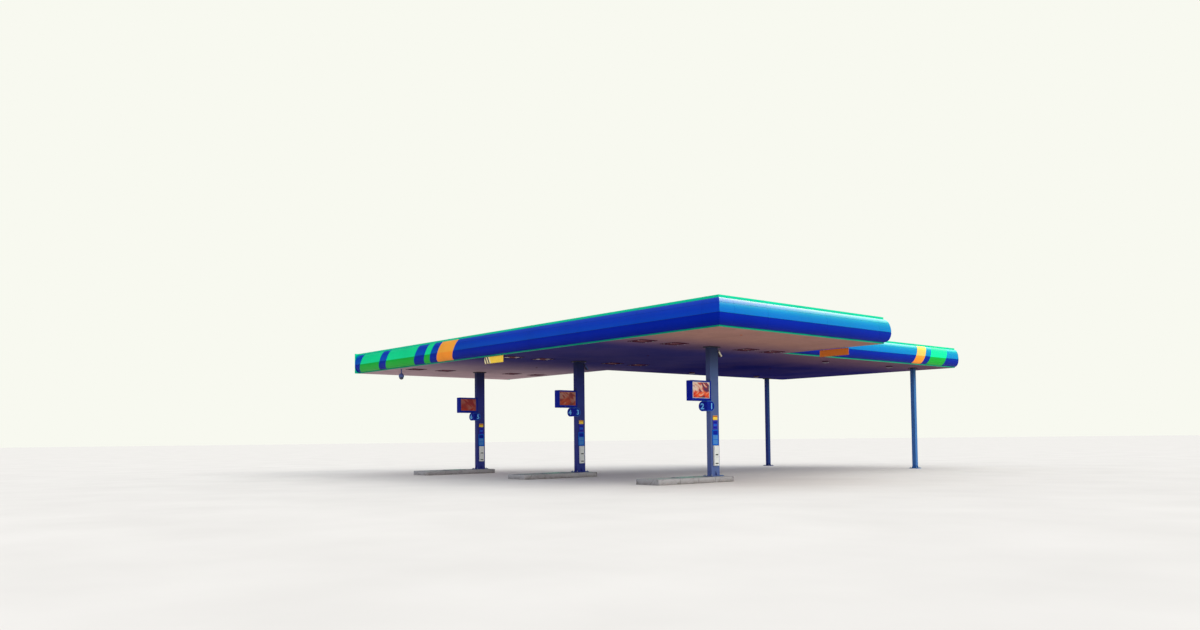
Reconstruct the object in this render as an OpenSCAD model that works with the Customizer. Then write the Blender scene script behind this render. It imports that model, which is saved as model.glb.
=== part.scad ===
// Filling station canopy: a main roof on one row of three columns, and a link roof on two posts.
// Lengths are in millimetres, +Z is up, and the ground is z = 0.
// Site coordinates have x = 0, y = 0 under the front right corner of the main roof's face line.
// The whole model is then shifted so that the origin lies under the centre of its bounding box.

/* [Main roof] */
// Length of the main roof along X, between face lines
main_l = 24400; // [20000:100:28000]
// Width of the main roof along Y, between face lines
main_w = 9200; // [8400:100:10400]
// Clear height from the ground to the underside of the soffit
clear_h = 5100; // [4400:50:5800]
// Distance between the columns in the row
column_pitch = 7900; // [6800:50:8400]
// Distance of the middle column from the middle of the main roof, negative towards the left
row_shift = -200; // [-400:50:400]
// Rise of the main roof sheets from the valley gutter to the eaves
main_fall = 120; // [60:10:180]

/* [Link roof] */
// Distance of the link roof's right side from the main roof's right side
link_setback = 4700; // [3000:50:6000]
// Width of the link roof along X
link_w = 11000; // [9500:50:12500]
// Depth of the link roof along Y, from the main roof's rear face line
link_d = 14000; // [10000:100:16000]
// Drop of the link roof sheets from the ridge to the rear gutter
link_fall = 200; // [80:10:260]
// Distance of the right post's centre from the link roof's right side
post_inset_right = 1250; // [600:50:2000]
// Distance of the left post's centre from the link roof's left side
post_inset_left = 350; // [350:50:1200]
// Distance of both posts' centres from the link roof's rear side
post_inset_rear = 1900; // [700:50:2400]

/* [Fascia] */
// Total height of the fascia, trims included
fascia_h = 1000; // [900:10:1100]
// Distance that the rounded fascia stands proud of the face line
bulge = 200; // [120:5:240]
// Height of the fullest line of the rounded fascia above its bottom edge
equator_h = 420; // [380:5:480]
// Thickness of the fascia panels
panel_t = 20; // [12:1:25]
// Visible height of the top trim
top_trim_h = 80; // [70:5:120]
// Visible height of the bottom trim
bottom_trim_h = 50; // [40:5:80]
// Width of the coping on top of the parapet
coping_w = 160; // [150:5:200]
// Thickness of the end plates on the left side of the main roof
end_plate_t = 20; // [10:1:30]
// Number of flat strips that the rounded profile is made of
profile_steps = 24; // [16:2:32]

/* [Columns and posts] */
// Column size along X
column_w = 220; // [180:10:260]
// Column size along Y
column_d = 450; // [380:10:500]
// Wall thickness of the columns and posts
tube_wall = 12; // [8:1:16]
// Side of the square link roof posts
post_w = 200; // [160:5:240]
// Thickness of the base plates
base_t = 30; // [20:1:40]
// Distance of the base plate's edge from the column or post
base_margin = 110; // [100:5:130]
// Radius of the anchor bolt holes
anchor_r = 15; // [12:0.5:18]
// Distance of the anchor bolts from the base plate's edge
anchor_edge = 50; // [40:5:55]
// Height of the stiffening plates on the bases
gusset_h = 180; // [120:5:240]
// Thickness of the stiffening plates on the bases
gusset_t = 15; // [10:1:20]

/* [Islands] */
// Width of an island along X
island_w = 1200; // [1000:50:1400]
// Height of an island
island_h = 200; // [150:5:240]
// Length of an island in front of the column's centre
island_front = 3470; // [3000:10:4000]
// Length of an island behind the column's centre
island_rear = 520; // [500:10:900]
// Corner radius of an island in plan
island_corner = 60; // [30:5:160]
// Distance from the column's centre forward to the middle of the island's equipment seat
seat_forward = 1500; // [1300:50:1800]
// Spacing along X of the seat's anchor holes
seat_bolts_x = 360; // [300:10:440]
// Spacing along Y of the seat's anchor holes
seat_bolts_y = 900; // [700:10:1000]
// Radius of the seat's anchor holes
seat_bolt_r = 9; // [7:0.5:11]
// Depth of the seat's anchor holes
seat_bolt_depth = 100; // [80:5:110]

/* [Roof structure] */
// Depth of the girders over the columns
girder_depth = 420; // [380:10:430]
// Depth of the girders at their tips
girder_tip = 300; // [250:10:320]
// Width of the girders' flanges
flange_w = 200; // [160:10:220]
// Thickness of the girders' flanges
flange_t = 15; // [10:1:20]
// Thickness of the girders' webs
web_t = 12; // [8:1:16]
// Depth of the purlins
purlin_depth = 150; // [140:5:170]
// Width of the purlins' flanges
purlin_w = 65; // [50:5:75]
// Thickness of the purlins' metal
purlin_t = 8; // [5:1:10]
// Width of the edge channels' flanges
edge_w = 80; // [70:5:90]
// Size of the square fascia rails
rail = 60; // [50:5:60]
// Distance between the uprights of the fascia frames
upright_pitch = 2400; // [1800:100:3000]

/* [Roof covering and soffit] */
// Thickness of the soffit
soffit_t = 30; // [20:1:40]
// Height of the ribs of the roof sheets
rib_h = 35; // [25:1:45]
// Distance between the ribs of the roof sheets
rib_pitch = 400; // [300:10:500]
// Thickness of the roof sheets
sheet_t = 6; // [4:1:8]
// Width of the valley gutter
gutter_w = 360; // [300:10:420]
// Depth of the gutters
gutter_h = 130; // [100:5:135]
// Thickness of the gutters' metal
gutter_t = 6; // [4:1:8]
// Width of the collars round the columns under the soffit
collar_w = 65; // [50:5:120]
// Thickness of the collars
collar_t = 45; // [15:1:60]

/* [Lights] */
// Side of the square light openings in the main soffit
light_hole = 690; // [600:10:760]
// Width of the bezel beyond a light opening
bezel_w = 35; // [25:1:50]
// Thickness of a bezel
bezel_t = 12; // [8:1:16]
// Depth of a light's housing above the soffit
light_depth = 70; // [60:5:70]
// Wall thickness of a light's housing
light_wall = 15; // [8:1:20]
// Thickness of a light's glass
glass_t = 6; // [4:1:8]
// Distance along Y of the inner lights from the column row
light_inner = 2000; // [1500:50:2200]
// Distance along Y of the outer lights from the column row
light_outer = 3620; // [3200:20:3700]
// Radius of the round lights under the link roof
bulkhead_r = 160; // [120:5:200]
// Depth of the round lights
bulkhead_h = 90; // [60:5:120]
// Distance of the round lights from the link roof's sides
bulkhead_inset = 1300; // [900:50:1700]

/* [Signs and cameras] */
// Thickness of a light box along X
box_t = 280; // [200:10:320]
// Width of a light box along Y
box_w = 1040; // [800:20:1100]
// Height of a light box
box_h = 750; // [600:10:900]
// Height of a light box's lower edge above the ground
box_z = 3030; // [2950:10:3300]
// Width of the frame round a light box's picture
box_frame = 30; // [20:1:50]
// Depth of the picture behind its frame
box_recess = 10; // [5:1:20]
// Radius of the rounded ends of the folded number plates
disc_r = 190; // [150:5:220]
// Thickness of the number plates
disc_t = 20; // [12:1:40]
// Size of the bar behind the front number plate
disc_bar = 60; // [40:5:80]
// Distance of the number plates' fold in front of the column
disc_forward = 205; // [120:5:220]
// Distance from the fold to the middle of the front plate's rounded end
disc_front_reach = 250; // [200:5:300]
// Distance from the fold to the middle of the side plate's rounded end
disc_side_reach = 210; // [190:5:260]
// Gap between the number plates and the light box above them
disc_gap = 5; // [2:1:20]
// Width of the widest notice board on the columns
board_w = 330; // [240:10:360]
// Thickness of the notice boards
board_t = 20; // [10:1:30]
// Length of a height sign
sign_l = 1350; // [1000:10:1500]
// Height of a height sign
sign_h = 280; // [200:10:340]
// Thickness of a height sign
sign_t = 12; // [8:1:20]
// Gap between a height sign and the trim above it
sign_drop = 15; // [10:1:40]
// Radius of the dome camera's housing
dome_r = 125; // [90:5:140]
// Length of the dome camera's pendant tube
dome_drop = 200; // [120:10:300]
// Radius of the dome camera's pendant tube
dome_tube_r = 30; // [20:1:40]
// Distance of the dome camera from the main roof's left side
dome_inset = 3850; // [3000:50:4500]
// Length of a column camera's body
camera_l = 300; // [160:10:320]
// Width and height of a column camera's body
camera_w = 110; // [70:5:120]
// Downward tilt of the column cameras, in degrees
camera_tilt = 50; // [20:1:55]
// Distance of the column cameras' brackets below the soffit
camera_drop = 120; // [110:10:200]
// Length of a column camera's arm
camera_arm = 155; // [150:5:180]
// Size of a column camera's square arm
camera_arm_w = 30; // [20:1:40]
// Side of a column camera's square wall plate
camera_plate = 100; // [80:5:140]
// Thickness of a column camera's wall plate
camera_plate_t = 12; // [8:1:20]
// Height of the dome camera's housing above its glass
dome_body_h = 200; // [140:10:240]

/* [Hidden] */
$fn = 48;

// Thickness of the trims' front legs, and of the bottom trim
trim_t = 20;
bottom_trim_t = 40;
// Height that the trims reach behind the fascia panels
trim_lap = 30;
// Distance of the steelwork's outer line inside the face line
steel_line = 150;
// Thickness and reach of the parapet's lining
lining_t = 10;
lining_low = 560;
lining_top_gap = 40;
// Height of the brackets that carry the fascia frames, above the soffit's underside
bracket_v = 330;
// Running clearance round a column or light in the soffit
fit_gap = 4;
// Distance that each end of a mitred panel or trim is held back from the corner
mitre_joint = 1;

// Place of the model's origin in site coordinates
x_min = -main_l - end_plate_t;
x_max = bulge;
y_min = -bulge;
y_max = main_w + link_d + panel_t;
origin_x = (x_min + x_max) / 2;
origin_y = (y_min + y_max) / 2;

// Columns, in site coordinates; column 1 is the nearest to the front right corner
row_y = main_w / 2;
row_x = -main_l / 2 + row_shift;
column_x = [row_x + column_pitch, row_x, row_x - column_pitch];
link_right = -link_setback;
link_left = -link_setback - link_w;
link_rear = main_w + link_d;
post_x = [link_right - post_inset_right, link_left + post_inset_left];
post_y = link_rear - post_inset_rear;

// Levels of the roof structure
steel_z = clear_h + soffit_t;
valley_z = steel_z + girder_depth;
half_w = main_w / 2;
eaves_z = valley_z + main_fall;
main_slope = atan(main_fall / (half_w - steel_line));
link_run = link_d - edge_w;
link_slope = atan(link_fall / link_run);
link_low_z = eaves_z - link_fall;
end_girder_x = [-steel_line - flange_w / 2, -main_l + steel_line + flange_w / 2];
base_z = island_h;

module site() {
  translate([-origin_x, -origin_y, 0]) children();
}

module bar(from, to) {
  translate(from) cube(to - from);
}

// Runs of the edge. Each is [start point, heading, length]; outward is to the right of the heading.
run_front = [[-main_l, 0], 0, main_l];
run_right = [[0, 0], 90, main_w];
run_rear_right = [[0, main_w], 180, link_setback];
run_link_right = [[link_right, main_w], 90, link_d];
run_link_rear = [[link_right, link_rear], 180, link_w];
run_link_left = [[link_left, link_rear], 270, link_d];
run_rear_left = [[link_left, main_w], 180, main_l - link_setback - link_w];
run_left = [[-main_l, main_w], 270, main_w];
run_left_panel = [[-main_l, main_w - coping_w], 270, main_w - 2 * coping_w];

// A 2D section, with x as the distance outwards and y as the height above the soffit's underside,
// swept along a run. A mitre is 1 at an outer corner, -1 at an inner corner and 0 at a square end,
// and a joint is the distance that each mitred end is held back.
module sweep(run, mitre_a, mitre_b, skip_a = 0, skip_b = 0, joint = mitre_joint) {
  reach = 450;
  start = skip_a + abs(mitre_a) * joint;
  finish = run[2] - skip_b - abs(mitre_b) * joint;
  translate([run[0][0], run[0][1], clear_h]) rotate([0, 0, run[1]])
    intersection() {
      translate([-2 * reach, 0, 0]) rotate([90, 0, 90]) linear_extrude(run[2] + 4 * reach)
        mirror([1, 0]) children();
      translate([0, 0, -reach]) linear_extrude(fascia_h + 2 * reach) polygon([
        [start + mitre_a * reach, reach],
        [finish - mitre_b * reach, reach],
        [finish + mitre_b * reach, -reach],
        [start - mitre_a * reach, -reach]
      ]);
    }
}

module section(low, high) {
  translate(low) square(high - low);
}

// Half ellipses above and below the fullest line, inset by a distance
function rounded(inset) = [
  for (i = [0 : profile_steps])
    let (a = -90 + 180 * i / profile_steps)
    let (rise = a > 0 ? fascia_h - top_trim_h - equator_h : equator_h - bottom_trim_h)
    [(bulge - inset) * cos(a), equator_h + (rise - inset) * sin(a)]
];

module fascia_shell() {
  outer = rounded(0);
  inner = rounded(panel_t);
  polygon(concat(outer, [for (i = [profile_steps : -1 : 0]) inner[i]]));
}

module rounded_fascia(run, mitre_a, mitre_b) {
  color("royalblue") sweep(run, mitre_a, mitre_b) fascia_shell();
}

module flat_fascia(run) {
  color("royalblue") sweep(run, 0, 0) section([0, bottom_trim_h], [panel_t, fascia_h - top_trim_h]);
}

// The coping: a front leg that shows as the green top trim, a flat top and a rear leg
module coping_section() {
  leg_low = fascia_h - top_trim_h;
  section([-trim_t, leg_low - trim_lap], [0, fascia_h]);
  section([-coping_w, fascia_h - trim_t], [0, fascia_h]);
  section([-coping_w, leg_low], [-coping_w + trim_t, fascia_h]);
}

module bottom_trim_section() {
  section([-bottom_trim_t, 0], [0, bottom_trim_h + trim_lap]);
}

// A section swept round the main roof's own edge
module main_edge(joint = mitre_joint) {
  sweep(run_front, 1, 1, joint = joint) children();
  sweep(run_right, 1, 1, joint = joint) children();
  sweep(run_rear_right, 1, -1, joint = joint) children();
  sweep(run_rear_left, -1, 1, joint = joint) children();
  sweep(run_left, 1, 1, joint = joint) children();
}

// A section swept round the link roof's own edge
module link_edge(joint = mitre_joint) {
  sweep(run_link_right, -1, 1, joint = joint) children();
  sweep(run_link_rear, 1, 1, joint = joint) children();
  sweep(run_link_left, 1, -1, joint = joint) children();
}

module whole_edge() {
  main_edge() children();
  link_edge() children();
}

module top_trim() {
  color("mediumseagreen") whole_edge() coping_section();
}

module bottom_trim() {
  color("seagreen") whole_edge() bottom_trim_section();
}

module lining_section() {
  section([-coping_w + trim_t, lining_low],
    [-coping_w + trim_t + lining_t, fascia_h - lining_top_gap]);
}

module parapet_lining() {
  color("silver") whole_edge() lining_section();
}

rail_low = soffit_t;
rail_high = fascia_h - top_trim_h - rail;

module rail_sections() {
  section([-bottom_trim_t - rail, rail_low], [-bottom_trim_t, rail_low + rail]);
  section([-trim_t - rail, rail_high], [-trim_t, rail_high + rail]);
}

// Uprights between the two rails of a run, each with a bracket to the edge steel
module uprights(run, bracket_reach) {
  upright_t = rail - trim_t;
  count = max(1, floor(run[2] / upright_pitch));
  spare = (run[2] - count * upright_pitch) / 2;
  translate([run[0][0], run[0][1], clear_h]) rotate([0, 0, run[1]])
    for (i = [0 : count - 1]) translate([spare + (i + 0.5) * upright_pitch, 0, 0]) {
      bar([-rail / 2, bottom_trim_t, rail_low + rail / 2],
        [rail / 2, bottom_trim_t + upright_t, rail_high + rail / 2]);
      bar([-rail / 2, bottom_trim_t + upright_t / 2, bracket_v],
        [rail / 2, bracket_reach, bracket_v + rail]);
    }
}

module main_fascia_frame() {
  web_reach = steel_line + flange_w / 2 - web_t / 2;
  color("slategray") {
    main_edge(joint = 0) rail_sections();
    for (run = [run_front, run_rear_right, run_rear_left]) uprights(run, steel_line);
    for (run = [run_right, run_left]) uprights(run, web_reach);
  }
}

module link_fascia_frame() {
  color("slategray") {
    link_edge(joint = 0) rail_sections();
    for (run = [run_link_right, run_link_rear, run_link_left]) uprights(run, steel_line);
  }
}

module end_plates() {
  plate_h = [clear_h, clear_h + fascia_h];
  color("mediumseagreen") {
    bar([-main_l - end_plate_t, -bulge, plate_h[0]], [-main_l, coping_w, plate_h[1]]);
    bar([-main_l - end_plate_t, main_w - coping_w, plate_h[0]], [-main_l, main_w + bulge, plate_h[1]]);
  }
  color("midnightblue") {
    link_cap(run_link_right, run_link_right[2]);
    link_cap(run_link_left, -panel_t);
  }
}

// Closing plate with the rounded outline, at the cut end of a link fascia
module link_cap(run, along) {
  translate([run[0][0], run[0][1], clear_h]) rotate([0, 0, run[1]]) translate([along, 0, 0])
    rotate([90, 0, 90]) linear_extrude(panel_t) mirror([1, 0]) polygon(rounded(0));
}

// Steel tube with a base plate, four anchor holes and a stiffening plate on each side
module tube_column(size, low, high) {
  plate = size + [2 * base_margin, 2 * base_margin];
  holes = plate / 2 - [anchor_edge, anchor_edge];
  translate([0, 0, low]) difference() {
    union() {
      translate([-plate[0] / 2, -plate[1] / 2, 0]) cube([plate[0], plate[1], base_t]);
      translate([-size[0] / 2, -size[1] / 2, 0]) cube([size[0], size[1], high - low]);
      for (side = [-1, 1]) {
        translate([side * size[0] / 2, gusset_t / 2, base_t]) rotate([90, 0, 0])
          linear_extrude(gusset_t) gusset(side);
        translate([-gusset_t / 2, side * size[1] / 2, base_t]) rotate([90, 0, 90])
          linear_extrude(gusset_t) gusset(side);
      }
    }
    translate([-size[0] / 2 + tube_wall, -size[1] / 2 + tube_wall, base_t])
      cube([size[0] - 2 * tube_wall, size[1] - 2 * tube_wall, high - low - base_t - tube_wall]);
    for (sx = [-1, 1], sy = [-1, 1])
      translate([sx * holes[0], sy * holes[1], -1]) cylinder(r = anchor_r, h = base_t + 2);
  }
}

module gusset(side) {
  reach = base_margin - anchor_edge / 2;
  polygon([[-side, 0], [side * reach, 0], [side * reach, gusset_h / 6], [0, gusset_h], [-side, gusset_h]]);
}

module column(i) {
  color("slategray") translate([column_x[i], row_y, 0])
    tube_column([column_w, column_d], base_z, steel_z);
}

module link_posts() {
  color("lightslategray") for (x = post_x) translate([x, post_y, 0])
    tube_column([post_w, post_w], 0, steel_z);
}

// Concrete island with holes for the column's anchors and the seat's anchors
module island(i) {
  plate = [column_w, column_d] + [2 * base_margin, 2 * base_margin];
  anchors = plate / 2 - [anchor_edge, anchor_edge];
  r = island_corner;
  color("gainsboro") translate([column_x[i], row_y, 0]) difference() {
    union() {
      bar([-island_w / 2 + r, -island_front, 0], [island_w / 2 - r, island_rear, island_h]);
      bar([-island_w / 2, -island_front + r, 0], [island_w / 2, island_rear - r, island_h]);
      for (sx = [-1, 1], y = [-island_front + r, island_rear - r])
        translate([sx * (island_w / 2 - r), y, 0]) cylinder(r = r, h = island_h);
    }
    for (sx = [-1, 1], sy = [-1, 1]) {
      translate([sx * anchors[0], sy * anchors[1], -1]) cylinder(r = anchor_r, h = island_h + 2);
      translate([sx * seat_bolts_x / 2, -seat_forward + sy * seat_bolts_y / 2, island_h - seat_bolt_depth])
        cylinder(r = seat_bolt_r, h = seat_bolt_depth + 1);
    }
  }
}

module collar(x, y, size) {
  translate([x, y, clear_h - collar_t]) linear_extrude(collar_t) difference() {
    square(size + [2 * collar_w, 2 * collar_w], center = true);
    square(size, center = true);
  }
}

module soffit_collars() {
  color("dimgray") {
    for (x = column_x) collar(x, row_y, [column_w, column_d]);
    for (x = post_x) collar(x, post_y, [post_w, post_w]);
  }
}

// Welded girder along Y: the web's outline is given, with flanges along its bottom and top edges.
// Bottom and top are lists of [y, z] points from front to rear.
module plate_girder(x, bottom, top) {
  translate([x, 0, 0]) {
    girder_slice(web_t) polygon(concat(bottom, [for (i = [len(top) - 1 : -1 : 0]) top[i]]));
    girder_slice(flange_w) girder_band(bottom, flange_t);
    girder_slice(flange_w) girder_band(top, -flange_t);
  }
}

module girder_slice(width) {
  translate([-width / 2, 0, 0]) rotate([90, 0, 90]) linear_extrude(width) children();
}

module girder_band(line, rise) {
  raised = [for (i = [len(line) - 1 : -1 : 0]) line[i] + [0, rise]];
  polygon(concat(line, raised));
}

module cross_girder(x) {
  y_front = steel_line + edge_w;
  y_rear = main_w - steel_line - edge_w;
  flat = column_d;
  rise = main_fall * (half_w - y_front) / (half_w - steel_line);
  tip_low = valley_z + rise - girder_tip;
  color("slategray") plate_girder(x,
    [[y_front, tip_low], [half_w - flat, steel_z], [half_w + flat, steel_z], [y_rear, tip_low]],
    [[y_front, valley_z + rise], [half_w, valley_z], [y_rear, valley_z + rise]]);
}

module cross_girders() {
  for (x = concat(column_x, end_girder_x)) cross_girder(x);
}

module link_girders() {
  y_front = main_w - steel_line;
  y_rear = link_rear - steel_line - edge_w;
  color("slategray") for (x = post_x)
    plate_girder(x, [[y_front, steel_z], [y_rear, steel_z]],
      [[y_front, link_top_z(y_front)], [y_rear, link_top_z(y_rear)]]);
}

// Height of the link girders' top at a given y
function link_top_z(y) = eaves_z - (y - main_w + steel_line) * tan(link_slope);

// Channel with its back outwards, as a section for a sweep
module channel_section(low, high) {
  difference() {
    section([-steel_line - edge_w, low], [-steel_line, high]);
    section([-steel_line - edge_w - 1, low + flange_t], [-steel_line - web_t, high - flange_t]);
  }
}

module edge_channels() {
  low = eaves_z - clear_h - girder_tip;
  high = eaves_z - clear_h - main_fall * edge_w / (half_w - steel_line);
  rear_run = [[0, main_w], 180, main_l];
  color("slategray") {
    sweep(run_front, 0, 0, steel_line, steel_line) channel_section(low, high);
    sweep(rear_run, 0, 0, steel_line, steel_line) channel_section(low, high);
  }
}

module link_edge_channels() {
  low = soffit_t + 150;
  high = link_top_z(link_rear - steel_line - edge_w) - clear_h;
  color("slategray") {
    sweep(run_link_right, 0, 0, -steel_line, steel_line + edge_w) channel_section(low, high);
    sweep(run_link_left, 0, 0, steel_line + edge_w, -steel_line) channel_section(low, high);
    sweep(run_link_rear, 0, 0, steel_line, steel_line) channel_section(low, high);
  }
}

// Frame of one slope of the main roof: y runs up the slope from the valley, z = 0 is the girders' top
module main_slope_frame(side) {
  translate([0, half_w, valley_z]) scale_side(side) rotate([main_slope, 0, 0]) children();
}

module scale_side(side) {
  if (side > 0) children();
  else mirror([0, 1, 0]) children();
}

module link_slope_frame() {
  translate([0, main_w - steel_line, eaves_z]) rotate([-link_slope, 0, 0]) children();
}

module purlin(x_from, x_to) {
  translate([x_from, 0, 0]) rotate([90, 0, 90]) linear_extrude(x_to - x_from) difference() {
    square([purlin_w, purlin_depth]);
    translate([purlin_t, purlin_t]) square([purlin_w, purlin_depth - 2 * purlin_t]);
  }
}

module main_purlins() {
  first = gutter_w / 2 + 40;
  last = (half_w - steel_line - edge_w - purlin_w) / cos(main_slope);
  count = 4;
  color("silver") for (side = [-1, 1]) main_slope_frame(side)
    for (i = [0 : count - 1]) translate([0, first + (last - first) * i / (count - 1), 0])
      purlin(-main_l + steel_line, -steel_line);
}

module link_purlins() {
  first = edge_w * 2;
  last = (link_run - steel_line) / cos(link_slope) - 2 * purlin_w - rear_gutter_w();
  count = 8;
  color("silver") link_slope_frame()
    for (i = [0 : count - 1]) translate([0, first + (last - first) * i / (count - 1), 0])
      purlin(link_left + steel_line, link_right - steel_line);
}

function rear_gutter_w() = gutter_w * 0.55;

// Ribbed sheet: ribs run along Y, the sheet's underside is z = 0
module ribbed_sheet(x_from, x_to, length) {
  count = floor((x_to - x_from) / rib_pitch);
  pitch = (x_to - x_from) / count;
  rib = [[0.5, 0], [0.6, 1], [0.85, 1], [0.95, 0]];
  line = concat([[0, 0]],
    [for (i = [0 : count - 1], p = rib) [(i + p[0]) * pitch, p[1] * rib_h]],
    [[count * pitch, 0]]);
  upper = [for (i = [len(line) - 1 : -1 : 0]) line[i] + [0, sheet_t]];
  translate([x_from, length, 0]) rotate([90, 0, 0]) linear_extrude(length) polygon(concat(line, upper));
}

module roof_sheet(side) {
  overhang = gutter_w / 2 - 70;
  length = (half_w - coping_w) / cos(main_slope) - overhang;
  color("lightgray") main_slope_frame(side) translate([0, overhang, purlin_depth])
    ribbed_sheet(-main_l + coping_w, -coping_w, length);
}

module link_roof_sheet() {
  start = steel_line - coping_w / 2;
  finish = (link_d + steel_line) / cos(link_slope) - steel_line - rear_gutter_w() + 60;
  color("lightgray") link_slope_frame() translate([0, start, purlin_depth])
    ribbed_sheet(link_left + coping_w, link_right - coping_w, finish - start);
}

module gutter_section(width) {
  difference() {
    translate([-width / 2, 0]) square([width, gutter_h]);
    translate([-width / 2 + gutter_t, gutter_t]) square([width - 2 * gutter_t, gutter_h]);
  }
}

module valley_gutter() {
  sole = valley_z + gutter_w / 2 * tan(main_slope);
  color("silver") translate([-main_l + coping_w, half_w, sole]) rotate([90, 0, 90])
    linear_extrude(main_l - 2 * coping_w) gutter_section(gutter_w);
}

module rear_gutter() {
  sole = link_top_z(link_rear - steel_line - rear_gutter_w());
  color("silver")
    translate([link_left + coping_w, link_rear - steel_line - rear_gutter_w() / 2, sole])
      rotate([90, 0, 90]) linear_extrude(link_w - 2 * coping_w) gutter_section(rear_gutter_w());
}

// Folded cap over the joint between the main and the link roof sheets, lying on their ribs
module ridge_flashing() {
  apex = eaves_z + (purlin_depth + rib_h + sheet_t) / cos(main_slope);
  leg = 220;
  main_drop = leg * tan(main_slope);
  link_drop = leg * tan(link_slope);
  color("lightgray") translate([link_left + coping_w, main_w - steel_line, apex]) rotate([90, 0, 90])
    linear_extrude(link_w - 2 * coping_w) polygon([
      [-leg, -main_drop], [0, 0], [leg, -link_drop],
      [leg, sheet_t - link_drop], [0, sheet_t], [-leg, sheet_t - main_drop]
    ]);
}

function light_places() = [for (x = column_x, y = [-light_outer, -light_inner, light_inner, light_outer])
  [x, row_y + y]];

module main_soffit() {
  color("rosybrown") translate([0, 0, clear_h]) linear_extrude(soffit_t) difference() {
    translate([-main_l + bottom_trim_t, bottom_trim_t])
      square([main_l - 2 * bottom_trim_t, main_w - 2 * bottom_trim_t]);
    for (p = light_places()) translate(p) square(light_hole + fit_gap, center = true);
    for (x = column_x) translate([x, row_y]) square([column_w, column_d] + [fit_gap, fit_gap], center = true);
  }
}

module link_soffit() {
  color("rosybrown") translate([0, 0, clear_h]) linear_extrude(soffit_t) difference() {
    translate([link_left + bottom_trim_t, main_w - bottom_trim_t]) square([link_w - 2 * bottom_trim_t, link_d]);
    for (x = post_x) translate([x, post_y]) square(post_w + fit_gap, center = true);
  }
}

// Recessed light: a bezel under the soffit and an open box above it, with a ledge for the glass
module soffit_light() {
  inner = light_hole - 2 * light_wall;
  difference() {
    union() {
      translate([-light_hole / 2, -light_hole / 2, 0]) cube([light_hole, light_hole, light_depth]);
      translate([-light_hole / 2 - bezel_w, -light_hole / 2 - bezel_w, -bezel_t])
        cube([light_hole + 2 * bezel_w, light_hole + 2 * bezel_w, bezel_t]);
    }
    translate([-inner / 2, -inner / 2, 0]) cube([inner, inner, light_depth - light_wall]);
    translate([-inner / 2 + light_wall, -inner / 2 + light_wall, -bezel_t - 1])
      cube([inner - 2 * light_wall, inner - 2 * light_wall, bezel_t + 2]);
  }
}

module soffit_lights() {
  color("gray") for (p = light_places()) translate([p[0], p[1], clear_h]) soffit_light();
}

module light_glasses() {
  side = light_hole - 2 * light_wall - fit_gap;
  color("whitesmoke") for (p = light_places()) translate([p[0] - side / 2, p[1] - side / 2, clear_h])
    cube([side, side, glass_t]);
}

module bulkhead_lights() {
  ys = [main_w + link_d * 0.34, main_w + link_d * 0.715];
  color("gray") for (x = [link_right - bulkhead_inset, link_left + bulkhead_inset], y = ys)
    translate([x, y, clear_h - bulkhead_h]) rotate_extrude() polygon([
      [0, 0], [bulkhead_r * 0.7, 0], [bulkhead_r * 0.92, bulkhead_h * 0.3],
      [bulkhead_r * 0.92, bulkhead_h * 0.6], [bulkhead_r, bulkhead_h * 0.6], [bulkhead_r, bulkhead_h],
      [0, bulkhead_h]
    ]);
}

// Box sign in front of a column, with a framed picture recessed in both broad sides
module light_boxes() {
  for (i = [0 : 2]) light_box(i);
}

module light_box(i) {
  y_far = row_y - column_d / 2;
  color("mediumblue") translate([column_x[i], y_far - box_w, box_z]) difference() {
    translate([-box_t / 2, 0, 0]) cube([box_t, box_w, box_h]);
    for (side = [-1, 1])
      translate([side * box_t / 2 - box_recess, box_frame, box_frame])
        cube([2 * box_recess, box_w - 2 * box_frame, box_h - 2 * box_frame]);
  }
}

// A plate folded round the column's front right corner, with a rounded end on each wing
module number_disc_pair(i) {
  z = box_z - disc_gap - disc_r;
  x_side = column_x[i] + column_w / 2;
  x_fold = x_side + disc_t;
  y_face = row_y - column_d / 2;
  y_fold = y_face - disc_forward;
  color("navy") {
    bar([x_side, y_fold, z - disc_r], [x_fold, y_fold + disc_side_reach, z + disc_r]);
    translate([x_side, y_fold + disc_side_reach, z]) rotate([0, 90, 0]) cylinder(r = disc_r, h = disc_t);
    bar([x_fold - disc_front_reach, y_fold, z - disc_r], [x_fold, y_fold + disc_t, z + disc_r]);
    translate([x_fold - disc_front_reach, y_fold, z]) rotate([-90, 0, 0]) cylinder(r = disc_r, h = disc_t);
    bar([x_side - disc_bar, y_fold + disc_t, z - disc_bar / 2], [x_side, y_face, z + disc_bar / 2]);
  }
}

module number_discs() {
  for (i = [0 : 2]) number_disc_pair(i);
}

// Lower and upper edges of the things on a column's side: a towel box, two notices and a label
board_levels = [[590, 1350], [1365, 1950], [1965, 2300], [2315, 2480]];
board_widths = [board_w * 0.8, board_w, board_w * 0.75, board_w * 0.75];
board_depths = [4 * board_t, board_t, board_t, board_t];
board_colours = ["gainsboro", "royalblue", "navy", "gold"];

module notice_boards() {
  for (x = column_x, k = [0 : 3]) {
    x_face = x + column_w / 2;
    color(board_colours[k])
      bar([x_face, row_y - board_widths[k] / 2, board_levels[k][0]],
        [x_face + board_depths[k], row_y + board_widths[k] / 2, board_levels[k][1]]);
  }
}

// Hanging sign below a trim, on two straps
module height_sign(x, y) {
  strap = 40;
  color("gold") {
    bar([x - sign_l / 2, y, clear_h - sign_drop - sign_h], [x + sign_l / 2, y + sign_t, clear_h - sign_drop]);
    for (side = [-1, 1])
      bar([x + side * sign_l * 0.35 - strap / 2, y, clear_h - sign_drop - strap],
        [x + side * sign_l * 0.35 + strap / 2, y + sign_t, clear_h]);
  }
}

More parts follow.
